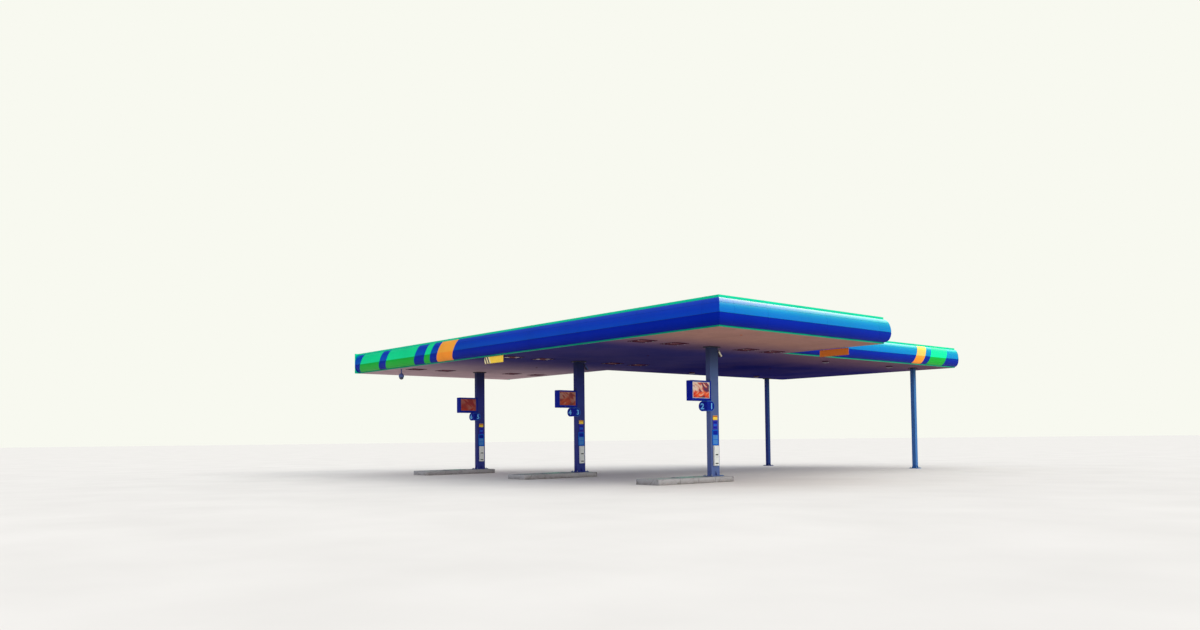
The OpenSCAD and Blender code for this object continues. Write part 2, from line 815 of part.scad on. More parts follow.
module height_signs() {
  height_sign(row_x + sign_l / 25, (bottom_trim_t - sign_t) / 2);
  height_sign(-link_setback * 0.47, main_w - (bottom_trim_t + sign_t) / 2);
}

module dome_camera() {
  body_h = dome_body_h;
  color("lightsteelblue") translate([-main_l + dome_inset, bottom_trim_t + dome_r + 140, clear_h]) {
    translate([0, 0, -12]) cylinder(r = dome_tube_r * 2, h = 12);
    translate([0, 0, -dome_drop]) cylinder(r = dome_tube_r, h = dome_drop);
    translate([0, 0, -dome_drop - body_h]) rotate_extrude() polygon([
      [0, 0], [dome_r, 0], [dome_r, body_h * 0.55], [dome_r * 0.55, body_h * 0.9], [dome_tube_r, body_h],
      [0, body_h]
    ]);
    translate([0, 0, -dome_drop - body_h]) intersection() {
      sphere(r = dome_r * 0.9);
      translate([-dome_r, -dome_r, -dome_r]) cube([2 * dome_r, 2 * dome_r, dome_r + 1]);
    }
  }
}

// Camera on a short arm behind a column, looking down
module column_camera(x) {
  y_face = row_y + column_d / 2;
  z = clear_h - collar_t - camera_drop;
  half_plate = camera_plate / 2;
  half_arm = camera_arm_w / 2;
  color("lightgray") {
    bar([x - half_plate, y_face, z - half_plate], [x + half_plate, y_face + camera_plate_t, z + half_plate]);
    bar([x - half_arm, y_face, z - half_arm], [x + half_arm, y_face + camera_arm, z + half_arm]);
    translate([x, y_face + camera_arm, z]) rotate([-camera_tilt, 0, 0])
      translate([-camera_w / 2, -camera_l / 4, -camera_w * 0.9]) cube([camera_w, camera_l, camera_w]);
  }
}

module column_cameras() {
  column_camera(column_x[0]);
  column_camera(column_x[1]);
}

site() {
  island(0);  // island_1
  island(1);  // island_2
  island(2);  // island_3
  column(0);  // column_1
  column(1);  // column_2
  column(2);  // column_3
  link_posts();
  soffit_collars();
  cross_girders();
  edge_channels();
  main_purlins();
  link_girders();
  link_edge_channels();
  link_purlins();
  main_fascia_frame();
  link_fascia_frame();
  roof_sheet(-1);  // roof_sheet_front
  roof_sheet(1);  // roof_sheet_rear
  link_roof_sheet();
  valley_gutter();
  rear_gutter();
  ridge_flashing();
  parapet_lining();
  main_soffit();
  link_soffit();
  soffit_lights();
  light_glasses();
  bulkhead_lights();
  rounded_fascia(run_front, 0, 1);  // fascia_front
  rounded_fascia(run_right, 1, 1);  // fascia_right
  rounded_fascia(run_rear_right, 1, -1);  // fascia_rear_right
  rounded_fascia(run_rear_left, -1, 0);  // fascia_rear_left
  flat_fascia(run_left_panel);  // fascia_left
  rounded_fascia(run_link_right, -1, 0);  // link_fascia_right
  rounded_fascia(run_link_left, 0, -1);  // link_fascia_left
  flat_fascia(run_link_rear);  // link_fascia_rear
  top_trim();
  bottom_trim();
  end_plates();
  light_boxes();
  number_discs();
  notice_boards();
  height_signs();
  dome_camera();
  column_cameras();
}
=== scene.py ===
"""Looks of the filling station canopy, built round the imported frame.

Lengths are in metres. Places are in site coordinates, where x = 0 and y = 0 lie under the front right corner
of the face line. Shape.add moves them into the frame."""

import math
import random
from itertools import product

import bpy
import bmesh
from mathutils import Matrix, Vector


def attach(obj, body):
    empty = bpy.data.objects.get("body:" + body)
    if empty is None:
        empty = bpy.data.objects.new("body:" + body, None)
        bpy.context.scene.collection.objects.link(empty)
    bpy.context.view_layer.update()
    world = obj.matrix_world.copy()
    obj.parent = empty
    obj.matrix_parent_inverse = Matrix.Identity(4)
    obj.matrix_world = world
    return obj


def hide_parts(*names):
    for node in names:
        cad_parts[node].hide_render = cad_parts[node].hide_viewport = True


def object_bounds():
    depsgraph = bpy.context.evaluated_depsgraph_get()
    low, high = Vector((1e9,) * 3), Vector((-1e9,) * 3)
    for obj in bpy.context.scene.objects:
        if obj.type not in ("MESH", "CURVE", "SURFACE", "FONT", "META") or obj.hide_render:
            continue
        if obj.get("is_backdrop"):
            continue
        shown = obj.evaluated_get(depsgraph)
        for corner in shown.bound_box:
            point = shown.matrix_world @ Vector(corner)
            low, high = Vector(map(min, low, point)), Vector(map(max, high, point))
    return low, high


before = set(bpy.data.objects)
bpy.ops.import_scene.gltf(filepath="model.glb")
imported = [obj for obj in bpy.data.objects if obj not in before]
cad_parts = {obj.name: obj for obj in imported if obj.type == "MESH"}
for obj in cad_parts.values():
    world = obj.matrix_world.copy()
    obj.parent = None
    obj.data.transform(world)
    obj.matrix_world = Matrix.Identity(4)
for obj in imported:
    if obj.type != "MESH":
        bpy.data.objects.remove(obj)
CAD_LOW, CAD_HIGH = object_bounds()
rng = random.Random(5)

# Sizes shared with the CAD part
MAIN_L, MAIN_W = 24.4, 9.2
HALF_W = MAIN_W / 2
LINK_RIGHT, LINK_LEFT, LINK_D = -4.7, -15.7, 14.0
LINK_REAR = MAIN_W + LINK_D
CLEAR_H, FASCIA_H = 5.1, 1.0
BULGE, EQUATOR = 0.2, 0.42
TOP_TRIM, BOTTOM_TRIM = 0.08, 0.05
PANEL_TOP = FASCIA_H - TOP_TRIM
COPING_W, CAP_T = 0.16, 0.02
COLUMN_X, COLUMN_W, COLUMN_D = (-4.5, -12.4, -20.3), 0.22, 0.45
COLUMN_FRONT, COLUMN_REAR = HALF_W - COLUMN_D / 2, HALF_W + COLUMN_D / 2
POST_W, POST_Y = 0.2, LINK_REAR - 1.9
POST_X = (LINK_RIGHT - 1.25, LINK_LEFT + 0.35)
ISLAND_W, ISLAND_H = 1.2, 0.2
ISLAND_FRONT, ISLAND_REAR = 3.47, 0.52
LIGHT_STEPS, LIGHT_HOLE = (-3.62, -2.0, 2.0, 3.62), 0.694
BASE_MARGIN, ANCHOR_EDGE = 0.11, 0.05
COLLAR_H = 0.045
SITE_X, SITE_Y = CAD_HIGH.x - BULGE, CAD_LOW.y + BULGE

UP, DOWN, FRONT, REAR, RIGHT, LEFT = (0, 0, 1), (0, 0, -1), (0, -1, 0), (0, 1, 0), (1, 0, 0), (-1, 0, 0)
BOTH = (-1, 1)
QUARTERS = list(product(BOTH, repeat=2))
STAY = Matrix.Identity(4)

# Each run of the edge is (start, heading in degrees, length); outward is to the right of the heading
RUNS = {
    "front": ((-MAIN_L, 0.0), 0, MAIN_L),
    "right": ((0.0, 0.0), 90, MAIN_W),
    "rear_right": ((0.0, MAIN_W), 180, -LINK_RIGHT),
    "link_right": ((LINK_RIGHT, MAIN_W), 90, LINK_D),
    "link_rear": ((LINK_RIGHT, LINK_REAR), 180, LINK_RIGHT - LINK_LEFT),
    "link_left": ((LINK_LEFT, LINK_REAR), 270, LINK_D),
    "rear_left": ((LINK_LEFT, MAIN_W), 180, MAIN_L + LINK_LEFT),
    "left": ((-MAIN_L, MAIN_W), 270, MAIN_W),
}


def move(x, y, z=0.0):
    return Matrix.Translation((x, y, z))


def turned(degrees, axis="Z"):
    return Matrix.Rotation(math.radians(degrees), 4, axis)


def on_run(run, s=0.0):
    """A matrix on a run, s along it at the soffit's underside: X along the run, Y inwards, Z up."""
    (x, y), heading, _ = RUNS[run]
    return move(x, y, CLEAR_H) @ turned(heading) @ move(s, 0)


def facing(origin, normal, place=STAY, up=None):
    """A matrix at a point, with local Z along the normal and local Y as near to up as it can be.

    place carries the point and the normal. Where the normal is upright, up is the rear."""
    z = (place.to_3x3() @ Vector(normal)).normalized()
    up = Vector(up or (REAR if abs(z.z) > 0.9 else UP))
    y = (up - z * up.dot(z)).normalized()
    m = Matrix((y.cross(z), y, z)).transposed().to_4x4()
    m.translation = place @ Vector(origin)
    return m


def arc(first, last, steps):
    """Cosine and sine at even steps between two angles in degrees."""
    angles = [math.radians(first + (last - first) * i / steps) for i in range(steps + 1)]
    return [(math.cos(a), math.sin(a)) for a in angles]


def rounded(angle, inset=0.0):
    """Outward distance and height of the fascia's profile at an angle round its bulge."""
    rise = PANEL_TOP - EQUATOR if angle > 0 else EQUATOR - BOTTOM_TRIM
    a = math.radians(angle)
    return (BULGE - inset) * math.cos(a), EQUATOR + (rise - inset) * math.sin(a)


# Materials
def tone(*screen):
    """A colour given in 0 to 255 screen values."""
    return (*(((v / 255 + 0.055) / 1.055) ** 2.4 if v > 10 else v / 255 / 12.92 for v in screen), 1.0)


def shade(colour, k):
    return tuple(min(1.0, c * k) for c in colour[:3]) + (1.0,)


class Nodes:
    """A node tree. Each input is given its value, or the output that feeds it."""

    def __init__(self, owner):
        owner.use_nodes = True
        self.tree = owner.node_tree
        self.tree.nodes.clear()

    def node(self, kind, inputs, **props):
        n = self.tree.nodes.new("ShaderNode" + kind)
        for key, value in props.items():
            setattr(n, key, value)
        for key, value in inputs.items():
            if isinstance(value, bpy.types.NodeSocket):
                self.tree.links.new(value, n.inputs[key])
            elif value is not None:
                n.inputs[key].default_value = value
        return n

    def ramp(self, value, stops):
        n = self.node("ValToRGB", {0: value})
        points = n.color_ramp.elements
        while len(points) < len(stops):
            points.new(0.5)
        for p, (place, colour) in zip(points, stops):
            p.position, p.color = place, colour
        return n.outputs[0]

    def spread(self, value, low, high, to_low=0.0, to_high=1.0):
        """The span from low to high, eased onto another span."""
        keys = {"Value": value, "From Min": low, "From Max": high, "To Min": to_low, "To Max": to_high}
        return self.node("MapRange", keys, interpolation_type="SMOOTHSTEP").outputs[0]


class Look(Nodes):
    """A material: layers of colour over one base, a wear pattern that leads the roughness, and bumps."""

    def __init__(self, name, **uniform):
        self.mat = bpy.data.materials.new(name)
        super().__init__(self.mat)
        self.coord = self.node("TexCoord", {}).outputs["Object"]
        self.uniform = {key.replace("_", " "): value for key, value in uniform.items()}
        self.base = None

    def mapped(self, stretch=(1, 1, 1), shift=(0, 0, 0)):
        return self.node("Mapping", {"Vector": self.coord, "Scale": stretch, "Location": shift}).outputs[0]

    def noise(self, scale, detail=4.0, rough=0.5, stretch=(1, 1, 1), shift=(0, 0, 0), distortion=0.0):
        keys = {"Vector": self.mapped(stretch, shift), "Scale": scale, "Detail": detail, "Roughness": rough,
                "Distortion": distortion}
        return self.node("TexNoise", keys).outputs["Fac"]

    def cells(self, scale, feature="F1", output="Distance"):
        keys = {"Vector": self.mapped(), "Scale": scale}
        return self.node("TexVoronoi", keys, feature=feature).outputs[output]

    def axis(self, which):
        return self.node("SeparateXYZ", {0: self.coord}).outputs[which]

    def math(self, op, a, b=None):
        return self.node("Math", {0: a, 1: b}, operation=op).outputs[0]

    def mix(self, fac, a, b, kind="MIX"):
        return self.node("Mix", {"Factor": fac, 6: a, 7: b}, data_type="RGBA", blend_type=kind).outputs[2]

    def tones(self, value, colour, first, last, places=(0.25, 0.5, 0.78)):
        """Three shades of one colour along a value."""
        return self.ramp(value, list(zip(places, (shade(colour, first), colour, shade(colour, last)))))

    def cover(self, value, low, high, strength, colour, start=0.0):
        """Lays a colour over the base as the value goes from low to high."""
        self.base = self.mix(self.spread(value, low, high, start, strength), self.base, colour)

    def done(self, wear, rough, *bumps):
        """Joins the layers. Each bump is (height, strength, distance)."""
        normal = None
        for height, strength, distance in bumps:
            keys = {"Height": height, "Strength": strength, "Distance": distance, "Normal": normal}
            normal = self.node("Bump", keys).outputs[0]
        roughness = self.spread(wear, 0.25, 0.75, *rough)
        keys = {**self.uniform, "Base Color": self.base, "Roughness": roughness, "Normal": normal}
        self.node("OutputMaterial", {0: self.node("BsdfPrincipled", keys).outputs[0]})
        return self.mat


DIRT = tone(74, 62, 54)
SOOT = tone(38, 33, 34)
RUST = tone(128, 62, 28)


def paint(name, colour, rough=(0.3, 0.5), dirt=0.25, streak=0.2, chip=0.0, specular=0.25, inward_shade=None,
          top_shade=None):
    """Sprayed or powder-coated metal: broad tone changes, run-down streaks, settled dirt, chips.

    The inward shade is (x, x, colour): painted shade, a deeper colour further in under the roof where light
    does not reach; the top shade is (z, z): the span over which painted shade darkens upwards to the soffit."""
    k = Look(name, Coat_Roughness=0.06, Specular_IOR_Level=specular)
    broad = k.noise(0.9, 5, 0.6)
    k.base = k.tones(broad, colour, 0.88, 1.096)
    # Painted shade: a deeper colour further in under the roof, where less light reaches
    if inward_shade:
        x_near, x_far, inward_shade_colour = inward_shade
        k.base = k.mix(k.spread(k.axis("X"), x_near, x_far), k.base, k.tones(broad, inward_shade_colour, 0.88, 1.096))
    # Painted shade: near-black darkening upwards towards the soffit
    if top_shade:
        k.cover(k.axis("Z"), *top_shade, 0.85, shade(colour, 0.08))
    k.cover(k.noise(34.0, 3, 0.6), 0.35, 0.8, 0.12, shade(colour, 0.7))
    k.cover(k.noise(5.0, 4, 0.65, (1, 1, 0.06)), 0.56, 0.86, streak, DIRT)
    patches = k.noise(2.3, 6, 0.7, shift=(7, 3, 1))
    k.cover(patches, 0.58, 0.86, dirt, DIRT)
    bumps = [(k.noise(240.0, 2, 0.5), 0.15, 0.0008)]
    if chip:
        chips = k.noise(16.0, 5, 0.75, shift=(2, 9, 4))
        k.cover(chips, 0.69, 0.73, chip, RUST)
        bumps.insert(0, (k.spread(chips, 0.69, 0.73), 0.3, -0.0006))
    return k.done(patches, rough, *bumps)


def galvanised(name, colour, rust):
    """Zinc with its spangle, white bloom and a few rust runs."""
    k = Look(name, Metallic=0.3, Specular_IOR_Level=0.3)
    spangle = k.cells(42.0)
    grey = k.ramp(k.math("MULTIPLY", spangle, 1.6), [(0.0, shade(colour, 1.12)), (1.0, shade(colour, 0.8))])
    k.base = k.mix(0.22, grey, k.cells(42.0, output="Color"), "SOFT_LIGHT")
    bloom = k.noise(3.1, 6, 0.7)
    k.cover(bloom, 0.52, 0.8, 0.45, tone(196, 198, 196))
    k.cover(k.noise(6.0, 5, 0.7, (1, 1, 0.1), (4, 1, 2)), 0.66, 0.84, rust, RUST)
    return k.done(bloom, (0.34, 0.62), (spangle, 0.05, 0.001), (k.noise(90.0, 3, 0.6), 0.1, 0.0006))


def make_concrete():
    """Cast concrete: specks and grit, splashes low down, oil, stains and fine cracks."""
    k = Look("concrete_cast", Specular_IOR_Level=0.02)
    k.base = k.tones(k.noise(1.3, 6, 0.65), tone(153, 152, 156), 0.78, 1.16, (0.28, 0.5, 0.75))
    specks, grit = k.cells(95.0), k.noise(150.0, 4, 0.7)
    k.cover(specks, 0.02, 0.2, 0.0, tone(96, 90, 84), start=0.34)
    k.cover(grit, 0.35, 0.75, 0.25, tone(206, 202, 192))
    uneven = k.spread(k.noise(4.0, 5, 0.7), 0.3, 0.7, 0.2, 1.0)
    splash = k.math("MULTIPLY", k.spread(k.axis("Z"), 0.17, 0.0), uneven)
    k.base = k.mix(k.math("MULTIPLY", splash, 0.6), k.base, tone(92, 82, 70))
    oil = k.noise(2.7, 4, 0.55, shift=(5, 2, 8), distortion=0.6)
    k.cover(oil, 0.6, 0.74, 0.5, tone(70, 62, 56))
    k.cover(k.noise(7.0, 4, 0.6, shift=(1, 6, 3)), 0.62, 0.8, 0.35, tone(142, 104, 70))
    k.cover(k.cells(1.1, "DISTANCE_TO_EDGE"), 0.0, 0.006, 0.0, tone(60, 55, 50), start=0.55)
    return k.done(oil, (0.92, 0.5), (k.noise(5.0, 6, 0.7), 0.3, 0.01), (grit, 0.35, 0.0025),
                  (k.spread(specks, 0.0, 0.14), 0.2, 0.002))


def fascia_paint(name, colour, rough, wave=0.5, coat=1.0, specular=0.15, dirt=0.03, sheen=(0.04, 0.35, 1.0),
                 fade=0.0):
    """Gloss-coated panel: slight hue drift between areas, rain streaks below the trim, a fine film."""
    k = Look(name, Coat_Weight=coat, Coat_Roughness=0.09, Specular_IOR_Level=specular,
             Specular_Tint=sheen + (1.0,))
    k.base = k.tones(k.noise(0.5, 4, 0.5), colour, 0.88, 1.12, (0.25, 0.5, 0.8))
    k.cover(k.noise(3.4, 5, 0.6, (1, 1, 0.05)), 0.52, 0.88, 0.16, shade(colour, 0.6))
    chalk = k.noise(2.0, 6, 0.7, (1, 1, 0.4), (3, 8, 2))
    k.cover(chalk, 0.58, 0.88, 0.07, shade(colour, 1.5))
    k.cover(k.noise(21.0, 5, 0.7), 0.52, 0.82, dirt, DIRT)
    # Painted shade: darker towards the bottom edge of the panel
    if fade:
        k.cover(k.axis("Z"), CLEAR_H + 0.33, CLEAR_H + 0.03, fade, shade(colour, 0.35))
    return k.done(chalk, rough, (k.noise(0.35, 2, 0.4, (1, 1, 1.5)), wave, 0.008),
                  (k.noise(260.0, 2, 0.5), 0.04, 0.0004))


def make_soffit():
    """Coated strip soffit: pinkish beige with soot patches, painted light at both open ends, and violet-grey
    painted shade over the islands and under the link roof.
    """
    k = Look("soffit_coating", Specular_IOR_Level=0.0)

    def across(first, last, low=0.0, high=1.0):
        return k.spread(k.axis("X"), SITE_X + first, SITE_X + last, low, high)

    patches = k.noise(0.7, 5, 0.6)
    # Painted light: warmer beige towards the right end, paler pink towards the left end, where daylight comes
    # in
    warm, cool = (k.tones(patches, c, 0.86, 1.1) for c in (tone(166, 126, 116), tone(188, 161, 166)))
    k.base = k.mix(across(-6.0, -19.0), warm, cool)
    k.cover(k.noise(3.2, 5, 0.65, (3.3, 0.35, 1)), 0.5, 0.82, 0.2, tone(118, 84, 87))
    # Painted shade: violet-grey over the islands and under the link roof, broken up by slow noise
    rear = k.spread(k.axis("Y"), SITE_Y + MAIN_W - 1.0, SITE_Y + MAIN_W + 4.0)
    main_shade = k.math("MULTIPLY", across(-1.9, -6.8), across(-21.5, -12.6, 0.02, 1.0))
    main_shade = k.math("MULTIPLY", main_shade, k.math("SUBTRACT", 1.0, rear))
    link_shade = k.math("MULTIPLY", rear, across(LINK_RIGHT, LINK_RIGHT - 5.0, 0.57, 1.0))
    painted_shade = k.math("ADD", main_shade, link_shade)
    cloud = k.spread(k.noise(0.45, 5, 0.6, shift=(3, 3, 3)), 0.3, 0.7, 0.94, 1.0)
    shade_colour = k.mix(rear, tone(56, 54, 114), tone(29, 30, 97))
    k.base = k.mix(k.math("MULTIPLY", painted_shade, cloud), k.base, shade_colour)
    soot = k.noise(1.8, 6, 0.7, shift=(6, 1, 3))
    k.cover(soot, 0.52, 0.84, 0.25, tone(41, 34, 60))
    k.cover(k.noise(60.0, 3, 0.7), 0.66, 0.74, 0.4, SOOT)
    return k.done(soot, (0.4, 0.66), (k.noise(1.2, 2, 0.4, (3, 0.6, 1)), 0.2, 0.01),
                  (k.noise(180.0, 2, 0.5), 0.08, 0.0006))


def make_roof():
    """Coated roof sheet: weather stain along the fall, lichen spots, dull gloss."""
    k = Look("roof_coating", Specular_IOR_Level=0.15)
    k.base = k.tones(k.noise(0.6, 5, 0.6), tone(164, 168, 168), 0.8, 1.12)
    runs = k.noise(4.0, 5, 0.65, (1.6, 0.12, 1))
    k.cover(runs, 0.48, 0.8, 0.45, tone(104, 100, 92))
    spots = k.math("MULTIPLY", k.spread(k.cells(7.0), 0.0, 0.22, 1.0, 0.0),
                   k.spread(k.noise(1.4, 4, 0.6), 0.5, 0.66))
    k.base = k.mix(k.math("MULTIPLY", spots, 0.7), k.base, tone(118, 122, 74))
    return k.done(runs, (0.42, 0.75), (k.noise(1.6, 3, 0.5), 0.15, 0.01),
                  (k.noise(110.0, 3, 0.6), 0.12, 0.0008))


def make_lens():
    """Unlit prismatic glass: a fine square pattern pressed into a clear pane, dusty in patches."""
    k = Look("lens_glass", Transmission_Weight=0.04, IOR=1.46, Specular_IOR_Level=0.0)
    x, y = (k.math("SINE", k.math("MULTIPLY", k.axis(which), 210.0)) for which in "XY")
    dust = k.noise(5.0, 6, 0.7)
    k.base = k.ramp(dust, [(0.3, tone(94, 52, 68)), (0.55, tone(118, 72, 82)), (0.8, tone(74, 40, 56))])
    k.cover(k.noise(42.0, 3, 0.7), 0.64, 0.72, 0.6, SOOT)
    return k.done(dust, (0.12, 0.4), (k.math("MULTIPLY", x, y), 0.25, 0.003))


def make_frost(name, colour, specular):
    """Frosted lamp spots behind the glass, grimed in patches."""
    k = Look(name, Specular_IOR_Level=specular)
    patches = k.noise(9.0, 5, 0.65)
    k.base = k.tones(patches, colour, 1.08, 0.78, (0.3, 0.5, 0.75))
    return k.done(patches, (0.3, 0.5), (k.noise(90.0, 2, 0.5), 0.1, 0.0006))


def plastic(name, colour, rough=(0.35, 0.5), dirt=0.2, specular=0.15, **uniform):
    """Moulded plastic, film or smooth coating, with grime in run-down patches."""
    k = Look(name, Specular_IOR_Level=specular, **uniform)
    k.base = k.tones(k.noise(9.0, 5, 0.65), colour, 0.92, 1.08, (0.3, 0.5, 0.75))
    grime = k.noise(21.0, 5, 0.7, (1, 1, 0.3), (2, 2, 5))
    k.cover(grime, 0.56, 0.82, dirt, DIRT)
    return k.done(grime, rough, (k.noise(320.0, 2, 0.5), 0.12, 0.0005))


def make_picture():
    """Made-up print for the light boxes: loose crossing brush marks, orange-red below, pale peach above;
    painted shade deepens the reds on the boxes further in under the roof.
    """
    k = Look("printed_panel", Coat_Weight=0.1, Coat_Roughness=0.2, Specular_IOR_Level=0.1,
             Emission_Strength=0.12)

    def brush(slant, place, *stops):
        """Noise drawn out along a slanted direction of the panel. Each stop is (place, red, green, blue)."""
        keys = {"Vector": k.coord, "Location": place, "Rotation": (math.radians(slant), 0, 0),
                "Scale": (2.0, 1.1, 0.3)}
        lie = k.node("Mapping", keys, vector_type="TEXTURE").outputs[0]
        keys = {"Vector": lie, "Scale": 1.7, "Detail": 3.0, "Roughness": 0.5, "Distortion": 0.5}
        return k.ramp(k.node("TexNoise", keys).outputs["Fac"], [(p, tone(*rgb)) for p, *rgb in stops])

    low = brush(32, (0, 0.3, 0.4), (0.38, 66, 8, 58), (0.44, 186, 26, 10), (0.52, 226, 64, 18),
                (0.58, 236, 100, 50), (0.63, 226, 178, 150))
    high = brush(-38, (0, 0.1, 0.2), (0.38, 96, 20, 74), (0.43, 200, 60, 50), (0.48, 222, 176, 154),
                 (0.57, 228, 204, 188), (0.63, 168, 50, 66))
    level = k.math("ADD", k.axis("Z"), k.math("MULTIPLY", k.noise(1.6, 2, 0.4, shift=(0, 1, 2)), 0.9))
    k.base = k.mix(k.spread(level, 3.74, 3.9), low, high)
    k.cover(k.cells(420.0), 0.1, 0.5, 0.0, tone(60, 20, 18), start=0.06)
    fade = k.noise(1.6, 4, 0.6)
    k.cover(fade, 0.5, 0.85, 0.1, tone(214, 176, 164))
    # Painted shade: darker reds on the boxes of the second and third columns, further in under the roof
    k.cover(k.axis("X"), SITE_X - 6.0, SITE_X - 11.5, 0.72, tone(132, 34, 24))
    k.cover(k.axis("X"), SITE_X - 15.0, SITE_X - 19.0, 0.5, tone(150, 16, 24))
    k.uniform["Emission Color"] = k.base
    return k.done(fade, (0.18, 0.36), (k.noise(3.0, 2, 0.4), 0.06, 0.003))


def smoked():
    """Dark see-through plastic of a camera's dome and lens."""
    k = Look("smoked_dome", Transmission_Weight=0.15, IOR=1.49, Coat_Weight=1.0, Coat_Roughness=0.03)
    dust = k.noise(14.0, 5, 0.7)
    k.base = k.ramp(dust, [(0.35, tone(24, 34, 66)), (0.65, tone(36, 48, 84)), (0.85, tone(78, 82, 96))])
    return k.done(dust, (0.06, 0.24), (k.noise(200.0, 2, 0.5), 0.04, 0.0004))


CONCRETE = make_concrete()
SUPPORT = dict(rough=(0.34, 0.56), dirt=0.12, streak=0.16, specular=0.15)
# Columns and posts carry painted shade: darker further in under the roof and towards the top
COLUMN_PAINT = paint("column_coating", tone(82, 97, 152), chip=0.4, top_shade=(3.5, 5.3), **SUPPORT,
                     inward_shade=(SITE_X - 5.5, SITE_X - 11.5, tone(43, 44, 128)))
POST_PAINT = paint("post_coating", tone(56, 101, 168), chip=0.3, top_shade=(4.2, 5.6), **SUPPORT,
                   inward_shade=(SITE_X - 7.0, SITE_X - 14.0, tone(27, 41, 118)))
COLLAR_PAINT = paint("collar_coating", tone(44, 40, 52), (0.4, 0.6), dirt=0.3)
STEEL_PAINT = paint("primer_coating", tone(104, 88, 84), (0.5, 0.75), dirt=0.4, streak=0.4, chip=0.7)
ZINC = galvanised("zinc_coating", tone(150, 154, 158), 0.3)
STAINLESS = galvanised("bolt_zinc", tone(160, 162, 164), 0.5)
ROOF = make_roof()
SOFFIT = make_soffit()
BEZEL = paint("bezel_coating", tone(66, 24, 48), (0.35, 0.55), dirt=0.2, specular=0.0)
GLASS = make_lens()
FROST = make_frost("frosted_spots", tone(92, 50, 60), 0.0)
# Pale spots: a painted highlight on the middle lights
FROST_GLINT = make_frost("frosted_spots_glint", tone(212, 192, 198), 0.5)
OPAL = plastic("opal_plastic", tone(88, 70, 92), (0.25, 0.5), Transmission_Weight=0.2)
BLUE = tone(0, 51, 180)
GREEN_SHEEN, ORANGE_SHEEN, TRIM_SHEEN = (0.1, 1.0, 0.3), (1.0, 0.6, 0.2), (0.05, 1.0, 0.7)
BLUE_UP = fascia_paint("fascia_blue_upper", BLUE, (0.3, 0.42))
BLUE_FLAT = fascia_paint("fascia_blue_flat", BLUE, (0.36, 0.5), coat=0.2, specular=0.1)
# Lower course: a darker copy of the blue, painted shade on the downward-facing half
BLUE_SHADED = fascia_paint("fascia_blue_lower_shaded", tone(0, 30, 150), (0.34, 0.46), coat=0.0, specular=0.05,
                        fade=0.36)
GREEN_UP = fascia_paint("band_green_upper", tone(0, 219, 138), (0.3, 0.42), coat=0.8, sheen=(0.1, 1.0, 0.5))
# Lower half of the green bands: a darker copy, painted shade
GREEN_SHADED = fascia_paint("band_green_lower_shaded", tone(0, 166, 44), (0.34, 0.46), coat=0.0, sheen=GREEN_SHEEN)
ORANGE_UP = fascia_paint("band_orange_upper", tone(255, 166, 36), (0.3, 0.42), coat=0.8, sheen=ORANGE_SHEEN)
# Lower half of the orange bands: a darker copy, painted shade
ORANGE_SHADED = fascia_paint("band_orange_lower_shaded", tone(250, 146, 34), (0.34, 0.46), coat=0.0, sheen=ORANGE_SHEEN)
SEAL = plastic("joint_seal", tone(16, 28, 66), (0.55, 0.75))
TRIM_GREEN = fascia_paint("trim_green_coating", tone(0, 201, 151), (0.35, 0.5), 0.2, 0.1, sheen=TRIM_SHEEN)
# Bottom trim: a darker copy of the trim green, painted shade
TRIM_SHADED = fascia_paint("trim_green_lower_shaded", tone(0, 139, 108), (0.35, 0.5), 0.2, 0.1, dirt=0.1,
                        sheen=TRIM_SHEEN)
CAP_DARK = paint("cap_coating", tone(44, 28, 92))
SIGN_BLUE = plastic("sign_blue_coating", tone(0, 19, 150), (0.28, 0.42), 0.05, 0.08)
NOTICE_BLUE = plastic("notice_blue_film", tone(0, 94, 203), (0.3, 0.45), 0.06, 0.1)
NOTICE_VIOLET = plastic("notice_violet_film", tone(53, 46, 181), (0.3, 0.45), 0.06, 0.1)
SIGN_PALE = plastic("numeral_film", tone(112, 192, 250), (0.3, 0.5), 0.04)
RIM_BLUE = plastic("disc_rim", tone(66, 124, 196), (0.25, 0.4), 0.08)
SIGN_WHITE = plastic("sign_white_coating", tone(214, 216, 214), (0.25, 0.5), 0.3)
SIGN_YELLOW = plastic("sign_yellow_coating", tone(250, 206, 66), dirt=0.1)
SIGN_ORANGE = plastic("sign_orange_coating", tone(226, 124, 46), dirt=0.12)
SIGN_RED = plastic("sign_red_film", tone(196, 44, 40))
SIGN_BLACK = plastic("sign_black_film", tone(24, 26, 40))
STRIPE_PALE = plastic("stripe_cream_film", tone(240, 222, 168), dirt=0.1)
STRIPE_DARK = plastic("stripe_dark_film", tone(46, 38, 66), dirt=0.1)
CAMERA_DARK = plastic("camera_underside", tone(58, 48, 76), (0.35, 0.55))
SHELL = plastic("camera_casing", tone(228, 222, 198), (0.3, 0.5))
SHELL_GREY = plastic("dome_casing", tone(76, 88, 140), (0.3, 0.5))
SMOKED = smoked()
RUBBER = plastic("rubber_black", tone(30, 30, 32), (0.6, 0.8))
PICTURE = make_picture()
# Grey-violet copy of the white border: painted shade for the boxes further in
BORDER_SHADED = plastic("picture_border_shaded", tone(104, 84, 118), (0.25, 0.5))

